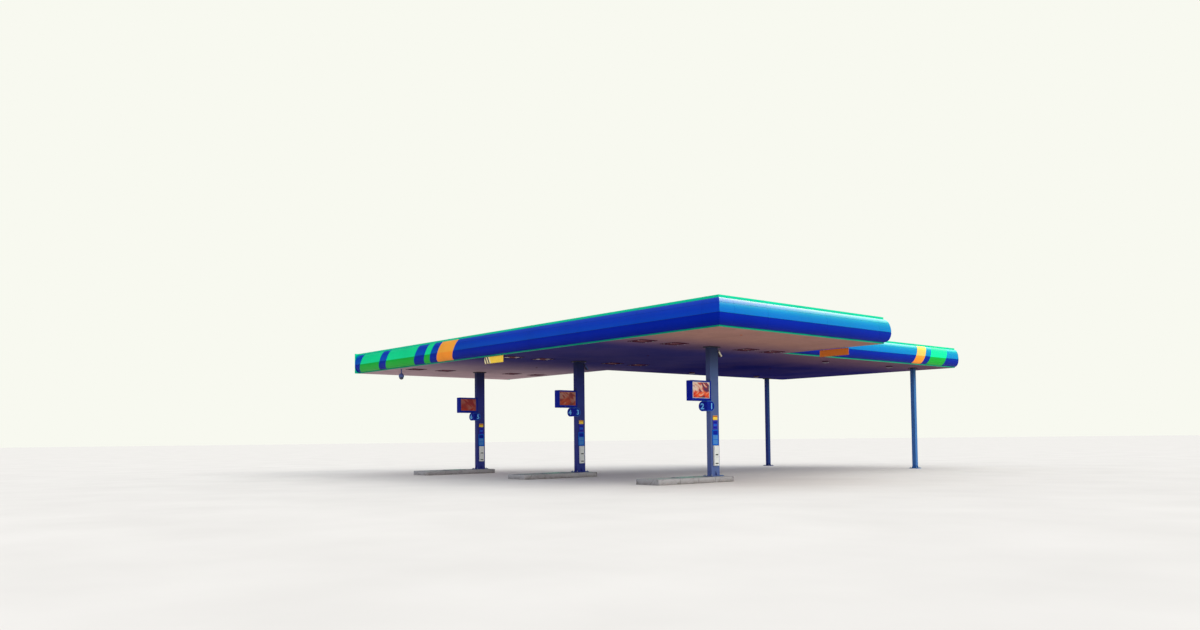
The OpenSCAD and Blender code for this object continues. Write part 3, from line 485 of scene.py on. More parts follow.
# Materials of the CAD nodes
CARRIED = (
    (CONCRETE, "island_1 island_2 island_3"),
    (COLUMN_PAINT, "column_1 column_2 column_3"),
    (POST_PAINT, "link_posts"),
    (COLLAR_PAINT, "soffit_collars"),
    (STEEL_PAINT, "cross_girders edge_channels link_girders link_edge_channels"),
    (STEEL_PAINT, "main_fascia_frame link_fascia_frame"),
    (ZINC, "main_purlins link_purlins valley_gutter rear_gutter parapet_lining"),
    (ROOF, "ridge_flashing roof_sheet_front roof_sheet_rear link_roof_sheet"),
    (SOFFIT, "main_soffit link_soffit"),
    (BEZEL, "soffit_lights"),
    (GLASS, "light_glasses"),
    (OPAL, "bulkhead_lights"),
    (BLUE_UP, "fascia_front fascia_right fascia_rear_right fascia_rear_left fascia_left"),
    (BLUE_UP, "link_fascia_right link_fascia_left link_fascia_rear"),
    (TRIM_GREEN, "top_trim end_plates"),
    (TRIM_SHADED, "bottom_trim"),
    (SIGN_BLUE, "light_boxes number_discs notice_boards"),
    (SIGN_YELLOW, "height_signs"),
    (SHELL_GREY, "dome_camera"),
    (SHELL, "column_cameras"),
)
for look, names in CARRIED:
    for name in names.split():
        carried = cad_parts[name].data.materials
        carried.clear()
        carried.append(look)


# Shapes
class Shape:
    """Gathers points and faces of one piece, then makes it and rides it on the frame."""

    def __init__(self, name, slot):
        self.name, self.slot = name, slot
        self.points, self.faces, self.looks, self.face_look, self.face_smooth = [], [], [], [], []

    def add(self, points, faces, look, smooth=False):
        base = len(self.points)
        self.points += [(p[0] + SITE_X, p[1] + SITE_Y, p[2]) for p in points]
        self.faces += [[base + i for i in f] for f in faces]
        if look not in self.looks:
            self.looks.append(look)
        self.face_look += [self.looks.index(look)] * len(faces)
        self.face_smooth += [smooth] * len(faces)

    def loft(self, rings, look, smooth=False, place=STAY):
        """Rings of equally many points, joined one to the next and closed at both ends."""
        n, last = len(rings[0]), (len(rings) - 1) * len(rings[0])
        faces = [list(range(n)), list(range(last, last + n))]
        faces += [[j + i, j + (i + 1) % n, j + n + (i + 1) % n, j + n + i]
                  for j in range(0, last, n) for i in range(n)]
        self.add([place @ Vector(p) for ring in rings for p in ring], faces, look, smooth)

    def block(self, low, high, look, chamfer=0.002, place=STAY):
        """A block with all its edges and corners cut off."""
        c = min([chamfer] + [(b - a) * 0.45 for a, b in zip(low, high)])
        points = [place @ Vector([high[i] - (c if i != k else 0) if s else low[i] + (c if i != k else 0)
                                  for i, s in enumerate(corner)])
                  for corner in product((0, 1), repeat=3) for k in range(3)]
        faces = [[n, n + 1, n + 2] for n in range(0, 24, 3)]
        step = (12, 6, 3)
        for k in range(3):
            i, j = (k + 1) % 3, (k + 2) % 3
            quad = [a * step[i] + b * step[j] for a, b in ((0, 0), (1, 0), (1, 1), (0, 1))]
            faces += [[n + s * step[k] + k for n in quad] for s in (0, 1)]
            faces += [[n + i, n + step[k] + i, n + step[k] + j, n + j] for n in quad]
        self.add(points, faces, look)

    def lathe(self, profile, place, look, steps=24, smooth=True):
        """A profile of (radius, height) points turned about the local Z axis."""
        points, rows = [], []
        for r, z in profile:
            ring = arc(0, 360, steps)[:-1] if r else [(0, 0)]
            rows.append(range(len(points), len(points) + len(ring)))
            points += [place @ Vector((r * c, r * s, z)) for c, s in ring]
        faces = []
        for (a, b), i in product(zip(rows, rows[1:]), range(steps)):
            j = (i + 1) % steps
            face = list(dict.fromkeys((a[i % len(a)], b[i % len(b)], b[j % len(b)], a[j % len(a)])))
            if len(face) > 2:
                faces.append(face)
        self.add(points, faces, look, smooth)

    def tube(self, path, radius, look, steps=8):
        """A round bar along a path of points."""
        path = [Vector(p) for p in path]
        rings, side = [], None
        for i, p in enumerate(path):
            ahead = (path[min(i + 1, len(path) - 1)] - path[max(i - 1, 0)]).normalized()
            side = (side - ahead * side.dot(ahead) if i else ahead.orthogonal()).normalized()
            other = ahead.cross(side)
            rings.append([p + radius * (c * side + s * other) for c, s in arc(0, 360, steps)[:-1]])
        self.loft(rings, look, True)

    def bolt(self, place, size, stud=0.0):
        """Washer, hexagon nut and the stud's end."""
        t = size * 0.14
        self.lathe([(0, 0), (size * 1.15, 0), (size * 1.15, t), (0, t)], place, STAINLESS, 16, False)
        self.lathe([(0, t), (size * 0.9, t), (size * 0.9, size * 0.75), (size * 0.78, size * 0.86),
                    (0, size * 0.86)], place, STAINLESS, 6, False)
        if stud:
            tip = stud + size * 0.12
            self.lathe([(size * 0.42, size * 0.8), (size * 0.42, stud), (size * 0.3, tip), (0, tip)],
                       place, STAINLESS, 12)

    def screw(self, origin, normal, r=0.005, place=STAY):
        """Pan head."""
        self.lathe([(r, 0), (r, r * 0.25), (r * 0.8, r * 0.55), (r * 0.4, r * 0.7), (0, r * 0.7)],
                   facing(origin, normal, place), STAINLESS, 10)

    def make(self, *replaced, sharp=32):
        mesh = bpy.data.meshes.new(self.name)
        mesh.from_pydata(self.points, [], self.faces)
        for look in self.looks:
            mesh.materials.append(look)
        mesh.polygons.foreach_set("material_index", self.face_look)
        mesh.polygons.foreach_set("use_smooth", self.face_smooth)
        tidy = bmesh.new()
        tidy.from_mesh(mesh)
        bmesh.ops.recalc_face_normals(tidy, faces=tidy.faces)
        tidy.to_mesh(mesh)
        tidy.free()
        mesh.set_sharp_from_angle(angle=math.radians(sharp))
        obj = bpy.data.objects.new(self.name, mesh)
        bpy.context.scene.collection.objects.link(obj)
        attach(obj, "root")
        if replaced:
            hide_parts(*replaced)


# Fascia
PANEL_GAP, PANEL_L = 0.005, 3.05
BACKING_IN, BACKING_T = 0.009, 0.006
FOLD_ANGLE = 40
SEAMS = {
    "front": [MAIN_L - 0.55 - PANEL_L * k for k in range(8)],
    "right": [0.52, 2.165, 5.39, 8.62],
    "rear_right": [0.6, 3.6],
    "link_right": [0.45, 3.66, 6.88, 10.11, 13.3],
    "link_left": [0.7, 3.9, 7.13, 10.36, 13.55],
    "rear_left": [0.5, 3.6, 6.7],
}
# The lowest course takes the darker painted-shade blue
COURSES = ((-89.5, -0.6, BLUE_SHADED, 20), (0.6, FOLD_ANGLE - 0.4, BLUE_UP, 12),
           (FOLD_ANGLE + 0.4, 89.5, BLUE_UP, 16))


def shell(shape, run, ends, mitres, angles, look, inset=0.0, thick=0.004, steps=10, lean=0.0):
    """A curved sheet on a run between two places; its ends follow the mitres, and may lean along the run."""
    rings = []
    for i in range(steps + 1):
        angle = angles[0] + (angles[1] - angles[0]) * i / steps
        outer, inner = rounded(angle, inset), rounded(angle, inset + thick)
        rings.append([(ends[k] + (2 * k - 1) * mitres[k] * d + lean * h, -d, h)
                      for k, (d, h) in ((0, outer), (1, outer), (1, inner), (0, inner))])
    shape.loft(rings, look, True, on_run(run))


# Gloss panels in three courses over a dark backing, with open joints between them: run, mitres, node
CURVED_RUNS = (
    ("front", 0, 1, "fascia_front"),
    ("right", 1, 1, "fascia_right"),
    ("rear_right", 1, -1, "fascia_rear_right"),
    ("rear_left", -1, 0, "fascia_rear_left"),
    ("link_right", -1, 0, "link_fascia_right"),
    ("link_left", 0, -1, "link_fascia_left"),
)
for run, m0, m1, node in CURVED_RUNS:
    panels = Shape("fascia_panels_" + run, "fascia_blue")
    length = RUNS[run][2]
    shell(panels, run, (0.0, length), (m0, m1), (-90, 90), SEAL, BACKING_IN, BACKING_T, 36)
    cuts = [0.0, *sorted(SEAMS[run]), length]
    for a, b in zip(cuts, cuts[1:]):
        first, final = a == 0.0, b == length
        ends = (a + (0.001 if first else PANEL_GAP / 2), b - (0.001 if final else PANEL_GAP / 2))
        for low, high, look, steps in COURSES:
            shell(panels, run, ends, (m0 * first, m1 * final), (low, high), look, steps=steps)
    panels.make(node, sharp=40)

# Coloured bands, which are straight slanted films: run, low end's start and finish, colours
BAND_LEAN = 0.55
# Each pair is the darker painted-shade copy for the lower half, then the colour of the upper half
GREEN, ORANGE = (GREEN_SHADED, GREEN_UP), (ORANGE_SHADED, ORANGE_UP)
films = Shape("fascia_bands", "trim_green")
for run, s0, s1, (low, high) in (("front", 0.35, 2.35, GREEN), ("front", 3.05, 5.75, GREEN),
                                 ("front", 6.65, 7.15, GREEN), ("front", 7.75, 9.05, ORANGE),
                                 ("link_right", 9.75, 10.55, ORANGE), ("link_right", 11.05, 12.55, GREEN)):
    for angles, look, steps in (((-88, 0), low, 22), ((0, 88), high, 28)):
        shell(films, run, (s0, s1), (0, 0), angles, look, -0.0012, 0.0016, steps, BAND_LEAN)
films.make(sharp=40)

# Flat panels with returned edges, open joints and pan-head screws: run, ends, node
for run, s0, s1, node in (("left", COPING_W, MAIN_W - COPING_W, "fascia_left"),
                          ("link_rear", 0.0, LINK_RIGHT - LINK_LEFT, "link_fascia_rear")):
    panels = Shape("fascia_panels_" + run, "fascia_blue")
    place = on_run(run)
    panels.block((s0 + 0.004, -0.012, BOTTOM_TRIM + 0.004), (s1 - 0.004, -0.002, PANEL_TOP - 0.004), SEAL,
                 0.001, place)
    count = max(2, round((s1 - s0) / PANEL_L))
    for k in range(count):
        a, b = (s0 + (s1 - s0) / count * (k + i) + PANEL_GAP * (0.5 - i) for i in (0, 1))
        # The lower half takes the darker painted-shade blue
        for low, high, look in ((BOTTOM_TRIM + 0.002, EQUATOR - 0.002, BLUE_SHADED),
                                (EQUATOR + 0.002, PANEL_TOP - 0.002, BLUE_FLAT)):
            panels.block((a, -0.02, low), (b, -0.006, high), look, 0.0025, place)
            for s, z in product((a + 0.05, (a + b) / 2, b - 0.05), (low + 0.04, high - 0.04)):
                panels.screw((s, -0.02, z), FRONT, 0.006, place)
    panels.make(node)

# End plates: green plates with folded edges on the left side, dark profile caps on the link roof's cut ends
plates = Shape("fascia_ends", "trim_green")
for y0, y1 in ((-BULGE, COPING_W), (MAIN_W - COPING_W, MAIN_W + BULGE)):
    plates.block((-MAIN_L - CAP_T, y0, CLEAR_H), (-MAIN_L, y1, CLEAR_H + FASCIA_H), TRIM_GREEN, 0.003)
    plates.block((-MAIN_L - 0.024, y0 + 0.02, CLEAR_H + 0.03),
                 (-MAIN_L - 0.0195, y1 - 0.02, CLEAR_H + FASCIA_H - 0.03), TRIM_GREEN)
    for z, y in product((0.08, 0.3, 0.52, 0.74, 0.93), (y0 + 0.045, y1 - 0.045)):
        plates.screw((-MAIN_L - 0.024, y, CLEAR_H + z), LEFT, 0.007)
cap = [rounded(-90 + 180 * i / 48) for i in range(49)]
for run, s0, face, normal in (("link_right", LINK_D, LINK_D + CAP_T, RIGHT),
                              ("link_left", -CAP_T, -CAP_T, LEFT)):
    plates.loft([[(s, -d, h) for d, h in cap] for s in (s0, s0 + CAP_T)], CAP_DARK, place=on_run(run))
    for angle in (-70, -30, 10, 45, 75):
        d, h = rounded(angle, 0.03)
        plates.screw((face, -d, h), normal, 0.006, on_run(run))
plates.make("end_plates", sharp=30)

# Trims: butt straps with rivets over the joints, and laps along the bottom trim
STRAP_T, STRAP_HALF = 0.0025, 0.035
straps = Shape("trim_straps", "trim_green")
for run, seams in [*SEAMS.items(), ("left", [1.5, 4.6, 7.7]), ("link_rear", [2.2, 5.5, 8.8])]:
    for s in seams:
        place = on_run(run, s)
        straps.block((-STRAP_HALF, -STRAP_T, PANEL_TOP), (STRAP_HALF, 0.0, FASCIA_H + 0.002), TRIM_GREEN,
                     0.001, place)
        straps.block((-STRAP_HALF, -STRAP_T, FASCIA_H - 0.001),
                     (STRAP_HALF, COPING_W + 0.002, FASCIA_H + STRAP_T), TRIM_GREEN, 0.001, place)
        # Lap on the bottom trim in the painted-shade trim green
        straps.block((-0.03, -STRAP_T, 0.002), (0.03, 0.002, BOTTOM_TRIM - 0.002), TRIM_SHADED, 0.001, place)
        for x in (-0.022, 0.022):
            for z in (0.022, 0.058):
                straps.screw((x, -STRAP_T, PANEL_TOP + z), FRONT, 0.0045, place)
            for y in (0.03, 0.08, 0.13):
                straps.screw((x, y, FASCIA_H + STRAP_T), UP, 0.0045, place)
straps.make()

# Soffit
PLANK, PLANK_T, PLANK_CUT = 0.3, 0.028, 0.005
SOFFIT_EDGE = 0.04
BEAD_IN, BEAD_OUT, BEAD_END, BEAD_T, BEAD_PITCH = 0.07, 0.045, 0.075, 0.003, 0.6


def opening(x, y, width, depth):
    return x - width / 2, x + width / 2, y - depth / 2, y + depth / 2


def planked(name, x0, x1, y0, y1, holes, node):
    """Strips side by side, with chamfered edges, cut round the openings."""
    shape = Shape(name, "soffit_paint")
    z0, z1 = CLEAR_H, CLEAR_H + PLANK_T
    count = round((x1 - x0) / PLANK)
    wide = (x1 - x0) / count
    for k in range(count):
        a, b = x0 + k * wide, x0 + (k + 1) * wide
        cuts = sorted({a, b} | {v for hole in holes for v in hole[:2] if a + 1e-4 < v < b - 1e-4})
        for p, q in zip(cuts, cuts[1:]):
            blocked = sorted(hole[2:] for hole in holes if hole[0] < (p + q) / 2 < hole[1])
            ca, cb = (PLANK_CUT if p == a else 0.0), (PLANK_CUT if q == b else 0.0)
            section = [(p, z1), (p, z0 + ca), (p + ca, z0), (q - cb, z0), (q, z0 + cb), (q, z1)]
            section = list(dict.fromkeys(section))
            for s, e in zip([y0] + [h[1] for h in blocked], [h[0] for h in blocked] + [y1]):
                shape.loft([[(x, y, z) for x, z in section] for y in (s, e)], SOFFIT)
    shape.make(node)


main_holes = [opening(x, HALF_W + s, LIGHT_HOLE, LIGHT_HOLE) for x, s in product(COLUMN_X, LIGHT_STEPS)]
main_holes += [opening(x, HALF_W, COLUMN_W + 0.004, COLUMN_D + 0.004) for x in COLUMN_X]
link_holes = [opening(x, POST_Y, POST_W + 0.004, POST_W + 0.004) for x in POST_X]
planked("soffit_strips_main", -MAIN_L + SOFFIT_EDGE, -SOFFIT_EDGE, SOFFIT_EDGE, MAIN_W - SOFFIT_EDGE,
        main_holes, "main_soffit")
planked("soffit_strips_link", LINK_LEFT + SOFFIT_EDGE, LINK_RIGHT - SOFFIT_EDGE, MAIN_W - SOFFIT_EDGE,
        LINK_REAR - SOFFIT_EDGE, link_holes, "link_soffit")

# Perimeter angle with screws, and small caps in the soffit
RUST_CAP = plastic("cap_rust", tone(176, 84, 30), (0.5, 0.7))
beads = Shape("soffit_edge_beads", "soffit_paint")
BEADS = (
    (-MAIN_L + BEAD_OUT, -BEAD_OUT, BEAD_OUT, BEAD_IN),
    (-BEAD_IN, -BEAD_OUT, BEAD_END, MAIN_W - BEAD_OUT),
    (-MAIN_L + BEAD_OUT, -MAIN_L + BEAD_IN, BEAD_END, MAIN_W - BEAD_OUT),
    (LINK_RIGHT - BEAD_IN, LINK_RIGHT - BEAD_OUT, MAIN_W, LINK_REAR - BEAD_OUT),
    (LINK_LEFT + BEAD_OUT, LINK_LEFT + BEAD_IN, MAIN_W, LINK_REAR - BEAD_OUT),
    (LINK_LEFT + BEAD_END, LINK_RIGHT - BEAD_END, LINK_REAR - BEAD_IN, LINK_REAR - BEAD_OUT),
    (-MAIN_L + BEAD_END, LINK_LEFT, MAIN_W - BEAD_IN, MAIN_W - BEAD_OUT),
    (LINK_RIGHT, -BEAD_END, MAIN_W - BEAD_IN, MAIN_W - BEAD_OUT),
)
for x0, x1, y0, y1 in BEADS:
    beads.block((x0, y0, CLEAR_H - BEAD_T), (x1, y1, CLEAR_H + 0.004), SOFFIT, 0.001)
    for k in range(int(max(x1 - x0, y1 - y0) / BEAD_PITCH)):
        t = (k + 0.5) * BEAD_PITCH
        spot = (x0 + t, (y0 + y1) / 2) if x1 - x0 > y1 - y0 else ((x0 + x1) / 2, y0 + t)
        beads.screw((*spot, CLEAR_H - BEAD_T), DOWN)
for x, y, r, look in ((-1.2, 2.45, 0.045, RUST_CAP), (-8.6, 5.2, 0.05, BEZEL), (-16.3, 5.2, 0.05, BEZEL),
                      (-10.2, 15.2, 0.05, BEZEL)):
    beads.lathe([(r, 0), (r, 0.006), (r * 0.8, 0.012), (r * 0.3, 0.014), (0, 0.014)],
                facing((x, y, CLEAR_H), DOWN), look, 20)
beads.make()

# Square lights: sagging lens with frosted spots, mitred bezel, hinges, and a reflector with its two tubes
LENS_REACH, LENS_SAG, LENS_T, LENS_CELLS = 0.302, 0.01, 0.006, 10
BEZEL_REACH, BEZEL_OPENING, BEZEL_T = 0.378, 0.312, 0.004
lenses = Shape("light_lenses", "lamp_glass")
frames = Shape("light_bezels", "light_metal")
insides = Shape("light_reflectors", "light_metal")
WHITE_ENAMEL = plastic("reflector_enamel", tone(214, 214, 208), (0.2, 0.35))
n, m = LENS_CELLS, (LENS_CELLS + 1) ** 2
span = [2 * i / n - 1 for i in range(n + 1)]
rim = [*range(n), *range(n, m - 1, n + 1), *range(m - 1, m - 1 - n, -1), *range(m - n - 1, 0, -n - 1)]
sheets, spots = [[p, q, m + q, m + p] for p, q in zip(rim, rim[1:] + rim[:1])], []
for j, i in product(range(n), repeat=2):
    quad = [j * (n + 1) + i + k for k in (0, 1, n + 2, n + 1)]
    (spots if max(i, j) <= 3 or min(i, j) >= 6 else sheets).append(quad)
    sheets.append([m + k for k in quad])
for cx, step in product(COLUMN_X, LIGHT_STEPS):
    cy = HALF_W + step
    grid = [Vector((cx + u * LENS_REACH, cy + v * LENS_REACH,
                    CLEAR_H - 0.001 - LENS_SAG * (1 - u ** 4) * (1 - v ** 4)))
            for v, u in product(span, repeat=2)]
    lenses.add(grid + [p + Vector((0, 0, LENS_T)) for p in grid], sheets, GLASS, True)
    # The front lights of the second column get the pale painted-highlight spots
    lenses.add(grid, spots, FROST_GLINT if cx == COLUMN_X[1] and step < 0 else FROST, True)
    ring = [(-BEZEL_REACH, -BEZEL_REACH, 0.99), (BEZEL_REACH, -BEZEL_REACH, 0.99),
            (BEZEL_OPENING, -BEZEL_OPENING, 1.01), (-BEZEL_OPENING, -BEZEL_OPENING, 1.01)]
    for quarter in range(4):
        place = move(cx, cy, CLEAR_H - 0.012) @ turned(90 * quarter)
        frames.loft([[(x, y, 0.0) for x, y, _ in ring], [(x * k, y * k, -BEZEL_T) for x, y, k in ring]],
                    BEZEL, place=place)
        for x in (-0.3, 0.0, 0.3):
            frames.screw((x, -0.345, -BEZEL_T), DOWN, 0.007, place)
        for x in (-0.18, 0.18) if quarter in (0, 2) else ():
            frames.block((x - 0.025, -0.374, -0.012), (x + 0.025, -0.33, -0.003), STAINLESS, place=place)
    insides.block((cx - 0.3, cy - 0.3, CLEAR_H + 0.044), (cx + 0.3, cy + 0.3, CLEAR_H + 0.05), WHITE_ENAMEL)
    for x in (cx - 0.12, cx + 0.12):
        insides.tube([(x, cy + y, CLEAR_H + 0.026) for y in (-0.26, 0.26)], 0.012, WHITE_ENAMEL, 12)
lenses.make("light_glasses", sharp=50)
frames.make()
insides.make()

lamps = Shape("round_lights", "lamp_plastic")
for x, share in product((LINK_RIGHT - 1.3, LINK_LEFT + 1.3), (0.34, 0.715)):
    place = facing((x, MAIN_W + LINK_D * share, CLEAR_H), DOWN)
    lamps.lathe([(0.16, 0), (0.16, 0.026), (0.154, 0.034), (0.147, 0.036), (0.144, 0.03)], place, BEZEL, 48)
    dome = [arc(v, v, 1)[0] for v in (12, 25, 38, 50, 62, 74, 84)]
    lamps.lathe([(0.146, 0.03), (0.147, 0.05), *((0.147 * c, 0.05 + 0.04 * s) for c, s in dome), (0, 0.09)],
                place, OPAL, 48)
    for k in range(3):
        lamps.block((-0.012, -0.005, 0.024), (0.012, 0.016, 0.046), BEZEL,
                    place=place @ turned(30 + 120 * k) @ move(0, 0.145))
lamps.make("bulkhead_lights", sharp=35)

# Feet and collars of the columns and posts: anchor bolts, uneven weld beads round shafts and along gussets
WELD_STEP, WELD_R, GUSSET_WELD_R, GUSSET_FOOT, GUSSET_H = 0.02, 0.007, 0.004, 0.085, 0.18
bolts = Shape("anchor_bolts", "zinc")
welds = Shape("base_welds", "column_paint")
screws = Shape("collar_screws", "zinc")
SUPPORTS = [(x, HALF_W, COLUMN_W / 2, COLUMN_D / 2, ISLAND_H, COLUMN_PAINT) for x in COLUMN_X]
SUPPORTS += [(x, POST_Y, POST_W / 2, POST_W / 2, 0.0, POST_PAINT) for x in POST_X]
for x, y, a, b, z, look in SUPPORTS:
    reach = BASE_MARGIN - ANCHOR_EDGE
    for sx, sy in QUARTERS:
        bolts.bolt(facing((x + sx * (a + reach), y + sy * (b + reach), z + 0.03), UP,
                          up=(math.cos(x + sy), math.sin(x + sy), 0)), 0.024, 0.045)
        screws.screw((x + sx * (a + COLLAR_H), y + sy * (b + COLLAR_H), CLEAR_H - COLLAR_H), DOWN, 0.008)
    corners = [Vector((x + sx * (a + 0.002), y + sy * (b + 0.002), z + 0.032))
               for sx, sy in ((-1, -1), (1, -1), (1, 1), (-1, 1), (-1, -1))]
    for p, q in zip(corners, corners[1:]):
        count = max(6, int((q - p).length / WELD_STEP))
        welds.tube([p.lerp(q, t / count) + Vector((0, 0, rng.uniform(-0.0008, 0.0008)))
                    for t in range(count + 1)], WELD_R, look, 6)
    for sx, sy in (LEFT[:2], RIGHT[:2], FRONT[:2], REAR[:2]):
        for side in BOTH:
            start = Vector((x + sx * a - sy * 0.0085 * side, y + sy * b + sx * 0.0085 * side, z + 0.033))
            for reach_to in (Vector((sx, sy, 0)) * GUSSET_FOOT, Vector((0, 0, GUSSET_H))):
                welds.tube([start + reach_to * t / 6 for t in range(7)], GUSSET_WELD_R, look, 6)
bolts.make()
welds.make()
screws.make()

# Inspection covers and earth straps low on the rear faces of the columns
COVER_HALF, COVER_LOW, COVER_HIGH, COVER_T = 0.07, 0.62, 0.88, 0.004
EARTH_BOLT_Z = 0.47
EARTH_STRAP = ((0, 0.012, EARTH_BOLT_Z), (0.012, 0.024, 0.43), (0.018, 0.03, 0.36), (0.03, 0.034, 0.29),
               (0.04, 0.05, 0.236))
covers = Shape("column_covers", "column_paint")
for x in COLUMN_X:
    y = COLUMN_REAR
    covers.block((x - COVER_HALF, y, COVER_LOW), (x + COVER_HALF, y + COVER_T, COVER_HIGH), COLUMN_PAINT,
                 0.0015)
    for dx, z in product((-0.055, 0.055), (COVER_LOW + 0.02, COVER_HIGH - 0.02)):
        covers.screw((x + dx, y + COVER_T, z), REAR, 0.006)
    covers.bolt(facing((x, y, EARTH_BOLT_Z), REAR), 0.012, 0.02)
    covers.tube([(x + dx, y + dy, z) for dx, dy, z in EARTH_STRAP], 0.005, RUBBER)
covers.make()

# Islands: cast kerb units with rounded top edges and open joints round a slightly lower infill
KERB_W, KERB_L, KERB_GAP, CORNER_R, EDGE_R = 0.15, 0.92, 0.004, 0.06, 0.018
INFILL_Z = ISLAND_H - 0.006
for number, cx in enumerate(COLUMN_X, 1):
    island = Shape(f"island_kerbs_{number}", "concrete")
    x0, x1 = cx - ISLAND_W / 2, cx + ISLAND_W / 2
    y0, y1 = HALF_W - ISLAND_FRONT, HALF_W + ISLAND_REAR
    low, high = y0 + KERB_W, y1 - KERB_W
    count = round((high - low) / KERB_L)
    for p, q in ((x0, x0 + KERB_W), (x1 - KERB_W, x1)):
        for k in range(count):
            a, b = low + (high - low) * k / count, low + (high - low) * (k + 1) / count
            top = ISLAND_H - rng.uniform(0, 0.002)
            island.block((p, a + KERB_GAP / 2, 0), (q, b - KERB_GAP / 2, top), CONCRETE, EDGE_R)
    for (end_y, sy), (end_x, sx) in product(((y0, 1), (y1, -1)), ((x0, -1), (x1, 1))):
        middle, inner = cx + sx * KERB_GAP / 2, end_y + sy * KERB_W
        outline = [(end_x - sx * CORNER_R * (1 - c), end_y + sy * CORNER_R * (1 - s))
                   for c, s in arc(0, 90, 8)]
        outline += [(middle, end_y), (middle, inner), (end_x, inner)]
        mx, my = (sum(p[i] for p in outline) / len(outline) for i in (0, 1))
        rings = [[(px + math.copysign(EDGE_R * k, mx - px), py + math.copysign(EDGE_R * k, my - py), z)
                  for px, py in outline] for z, k in ((0.0, 0.0), (ISLAND_H - EDGE_R, 0.0),
                                                      (ISLAND_H - EDGE_R / 2, 0.13), (ISLAND_H - 0.003, 0.5),
                                                      (ISLAND_H - 0.0005, 1.0))]
        island.loft(rings, CONCRETE)
    ys = [low, low + 1.05, low + 2.35, high]
    for a, b in zip(ys, ys[1:]):
        island.block((x0 + KERB_W + 0.003, a + 0.002, 0), (x1 - KERB_W - 0.003, b - 0.002, INFILL_Z),
                     CONCRETE, 0.006)
    island.make(f"island_{number}", sharp=35)

# Blank seat frames on the islands: a plate with a raised rim, treads and anchor nuts
SEAT_Y, SEAT_T, TREAD_PITCH = HALF_W - 1.5, 0.012, 0.04
seats = Shape("island_seats", "zinc")
for x in COLUMN_X:
    z = INFILL_Z
    seats.block((x - 0.24, SEAT_Y - 0.5, z), (x + 0.24, SEAT_Y + 0.5, z + SEAT_T), ZINC, 0.003)
    for side in BOTH:
        for mx, my, half_x, half_y in ((side * 0.235, 0, 0.012, 0.51), (0, side * 0.5, 0.245, 0.012)):
            seats.block((x + mx - half_x, SEAT_Y + my - half_y, z),
                        (x + mx + half_x, SEAT_Y + my + half_y, z + 0.022), ZINC, 0.003)
    for i, j in product(range(11), range(24)):
        if (i + j) % 2:
            spot = move(x - 0.2 + i * TREAD_PITCH, SEAT_Y - 0.46 + j * TREAD_PITCH, z + SEAT_T)
            seats.block((-0.013, -0.003, -0.001), (0.013, 0.003, 0.0016), ZINC, 0.0012,
                        spot @ turned(45 if i % 2 else -45))
    for sx, sy in QUARTERS:
        seats.bolt(facing((x + sx * 0.18, SEAT_Y + sy * 0.45, z + SEAT_T), UP, up=RIGHT), 0.016, 0.026)
seats.make()

# Light boxes on the columns: backing, border and print on each side, with beads, screws, straps and plugs
BOX_Y0, BOX_Y1, BOX_Z0, BOX_Z1, BOX_HALF = COLUMN_FRONT - 1.04, COLUMN_FRONT, 3.03, 3.78, 0.14
BOX_RIM, BEAD_LAP, BEAD_W, COVER_STRIP_T = 0.03, 0.006, 0.018, 0.006
Y0, Y1, Z0, Z1 = BOX_Y0 + BOX_RIM, BOX_Y1 - BOX_RIM, BOX_Z0 + BOX_RIM, BOX_Z1 - BOX_RIM


def bars(y0, z0, y1, z1, width):
    """The four bars of an upright frame, each as its lowest and highest Y and Z."""
    return ((y0, z0, y1, z0 + width), (y0, z1 - width, y1, z1), (y0, z0 + width, y0 + width, z1 - width),
            (y1 - width, z0 + width, y1, z1 - width))


pictures = Shape("box_pictures", "sign_white")
edges = Shape("box_beads", "sign_blue")
for x, side in product(COLUMN_X, BOTH):
    face = x + side * BOX_HALF
    # Boxes further in get the painted-shade border
    border = SIGN_WHITE if x == COLUMN_X[0] else BORDER_SHADED
    for front, rear, low, high, depth, look in ((0.0015, 0.0015, 0.0, 0.0, 0.0062, SIGN_BLUE),
                                                (0.02, 0.04, 0.062, 0.022, 0.0042, border),
                                                (0.046, 0.072, 0.078, 0.038, 0.0032, PICTURE)):
        a, b = sorted((face - side * 0.0105, face - side * depth))
        pictures.block((a, Y0 + front, Z0 + 0.0015 + low), (b, Y1 - rear, Z1 - 0.0015 - high), look, 0.001)
    a, b = sorted((face - side * 0.006, face + side * 0.003))
    for y0, z0, y1, z1 in bars(Y0 - BEAD_LAP, Z0 - BEAD_LAP, Y1 + BEAD_LAP, Z1 + BEAD_LAP, BEAD_W):
        edges.block((a, y0, z0), (b, y1, z1), SIGN_BLUE)
    for y, z in product((Y0 + 0.1, (Y0 + Y1) / 2, Y1 - 0.1), (Z0 - 0.018, Z1 + 0.018)):
        edges.screw((face, y, z), (side, 0, 0))
for x in COLUMN_X:
    for z in (BOX_Z0 + 0.12, BOX_Z1 - 0.12):
        edges.block((x - 0.05, BOX_Y1 - 0.004, z - 0.03), (x + 0.05, BOX_Y1 + 0.004, z + 0.03), SIGN_BLUE)
    for z in (BOX_Z0 - COVER_STRIP_T, BOX_Z1):
        edges.block((x - 0.12, BOX_Y0 + 0.02, z), (x + 0.12, BOX_Y1 - 0.02, z + COVER_STRIP_T), SIGN_BLUE)
    for y in (BOX_Y0 + 0.2, BOX_Y0 + 0.52, BOX_Y0 + 0.84):
        edges.lathe([(0.014, 0), (0.014, 0.004), (0.008, 0.007), (0, 0.007)],
                    facing((x, y, BOX_Z0 - COVER_STRIP_T), DOWN), RUBBER, 12)
pictures.make()
edges.make()

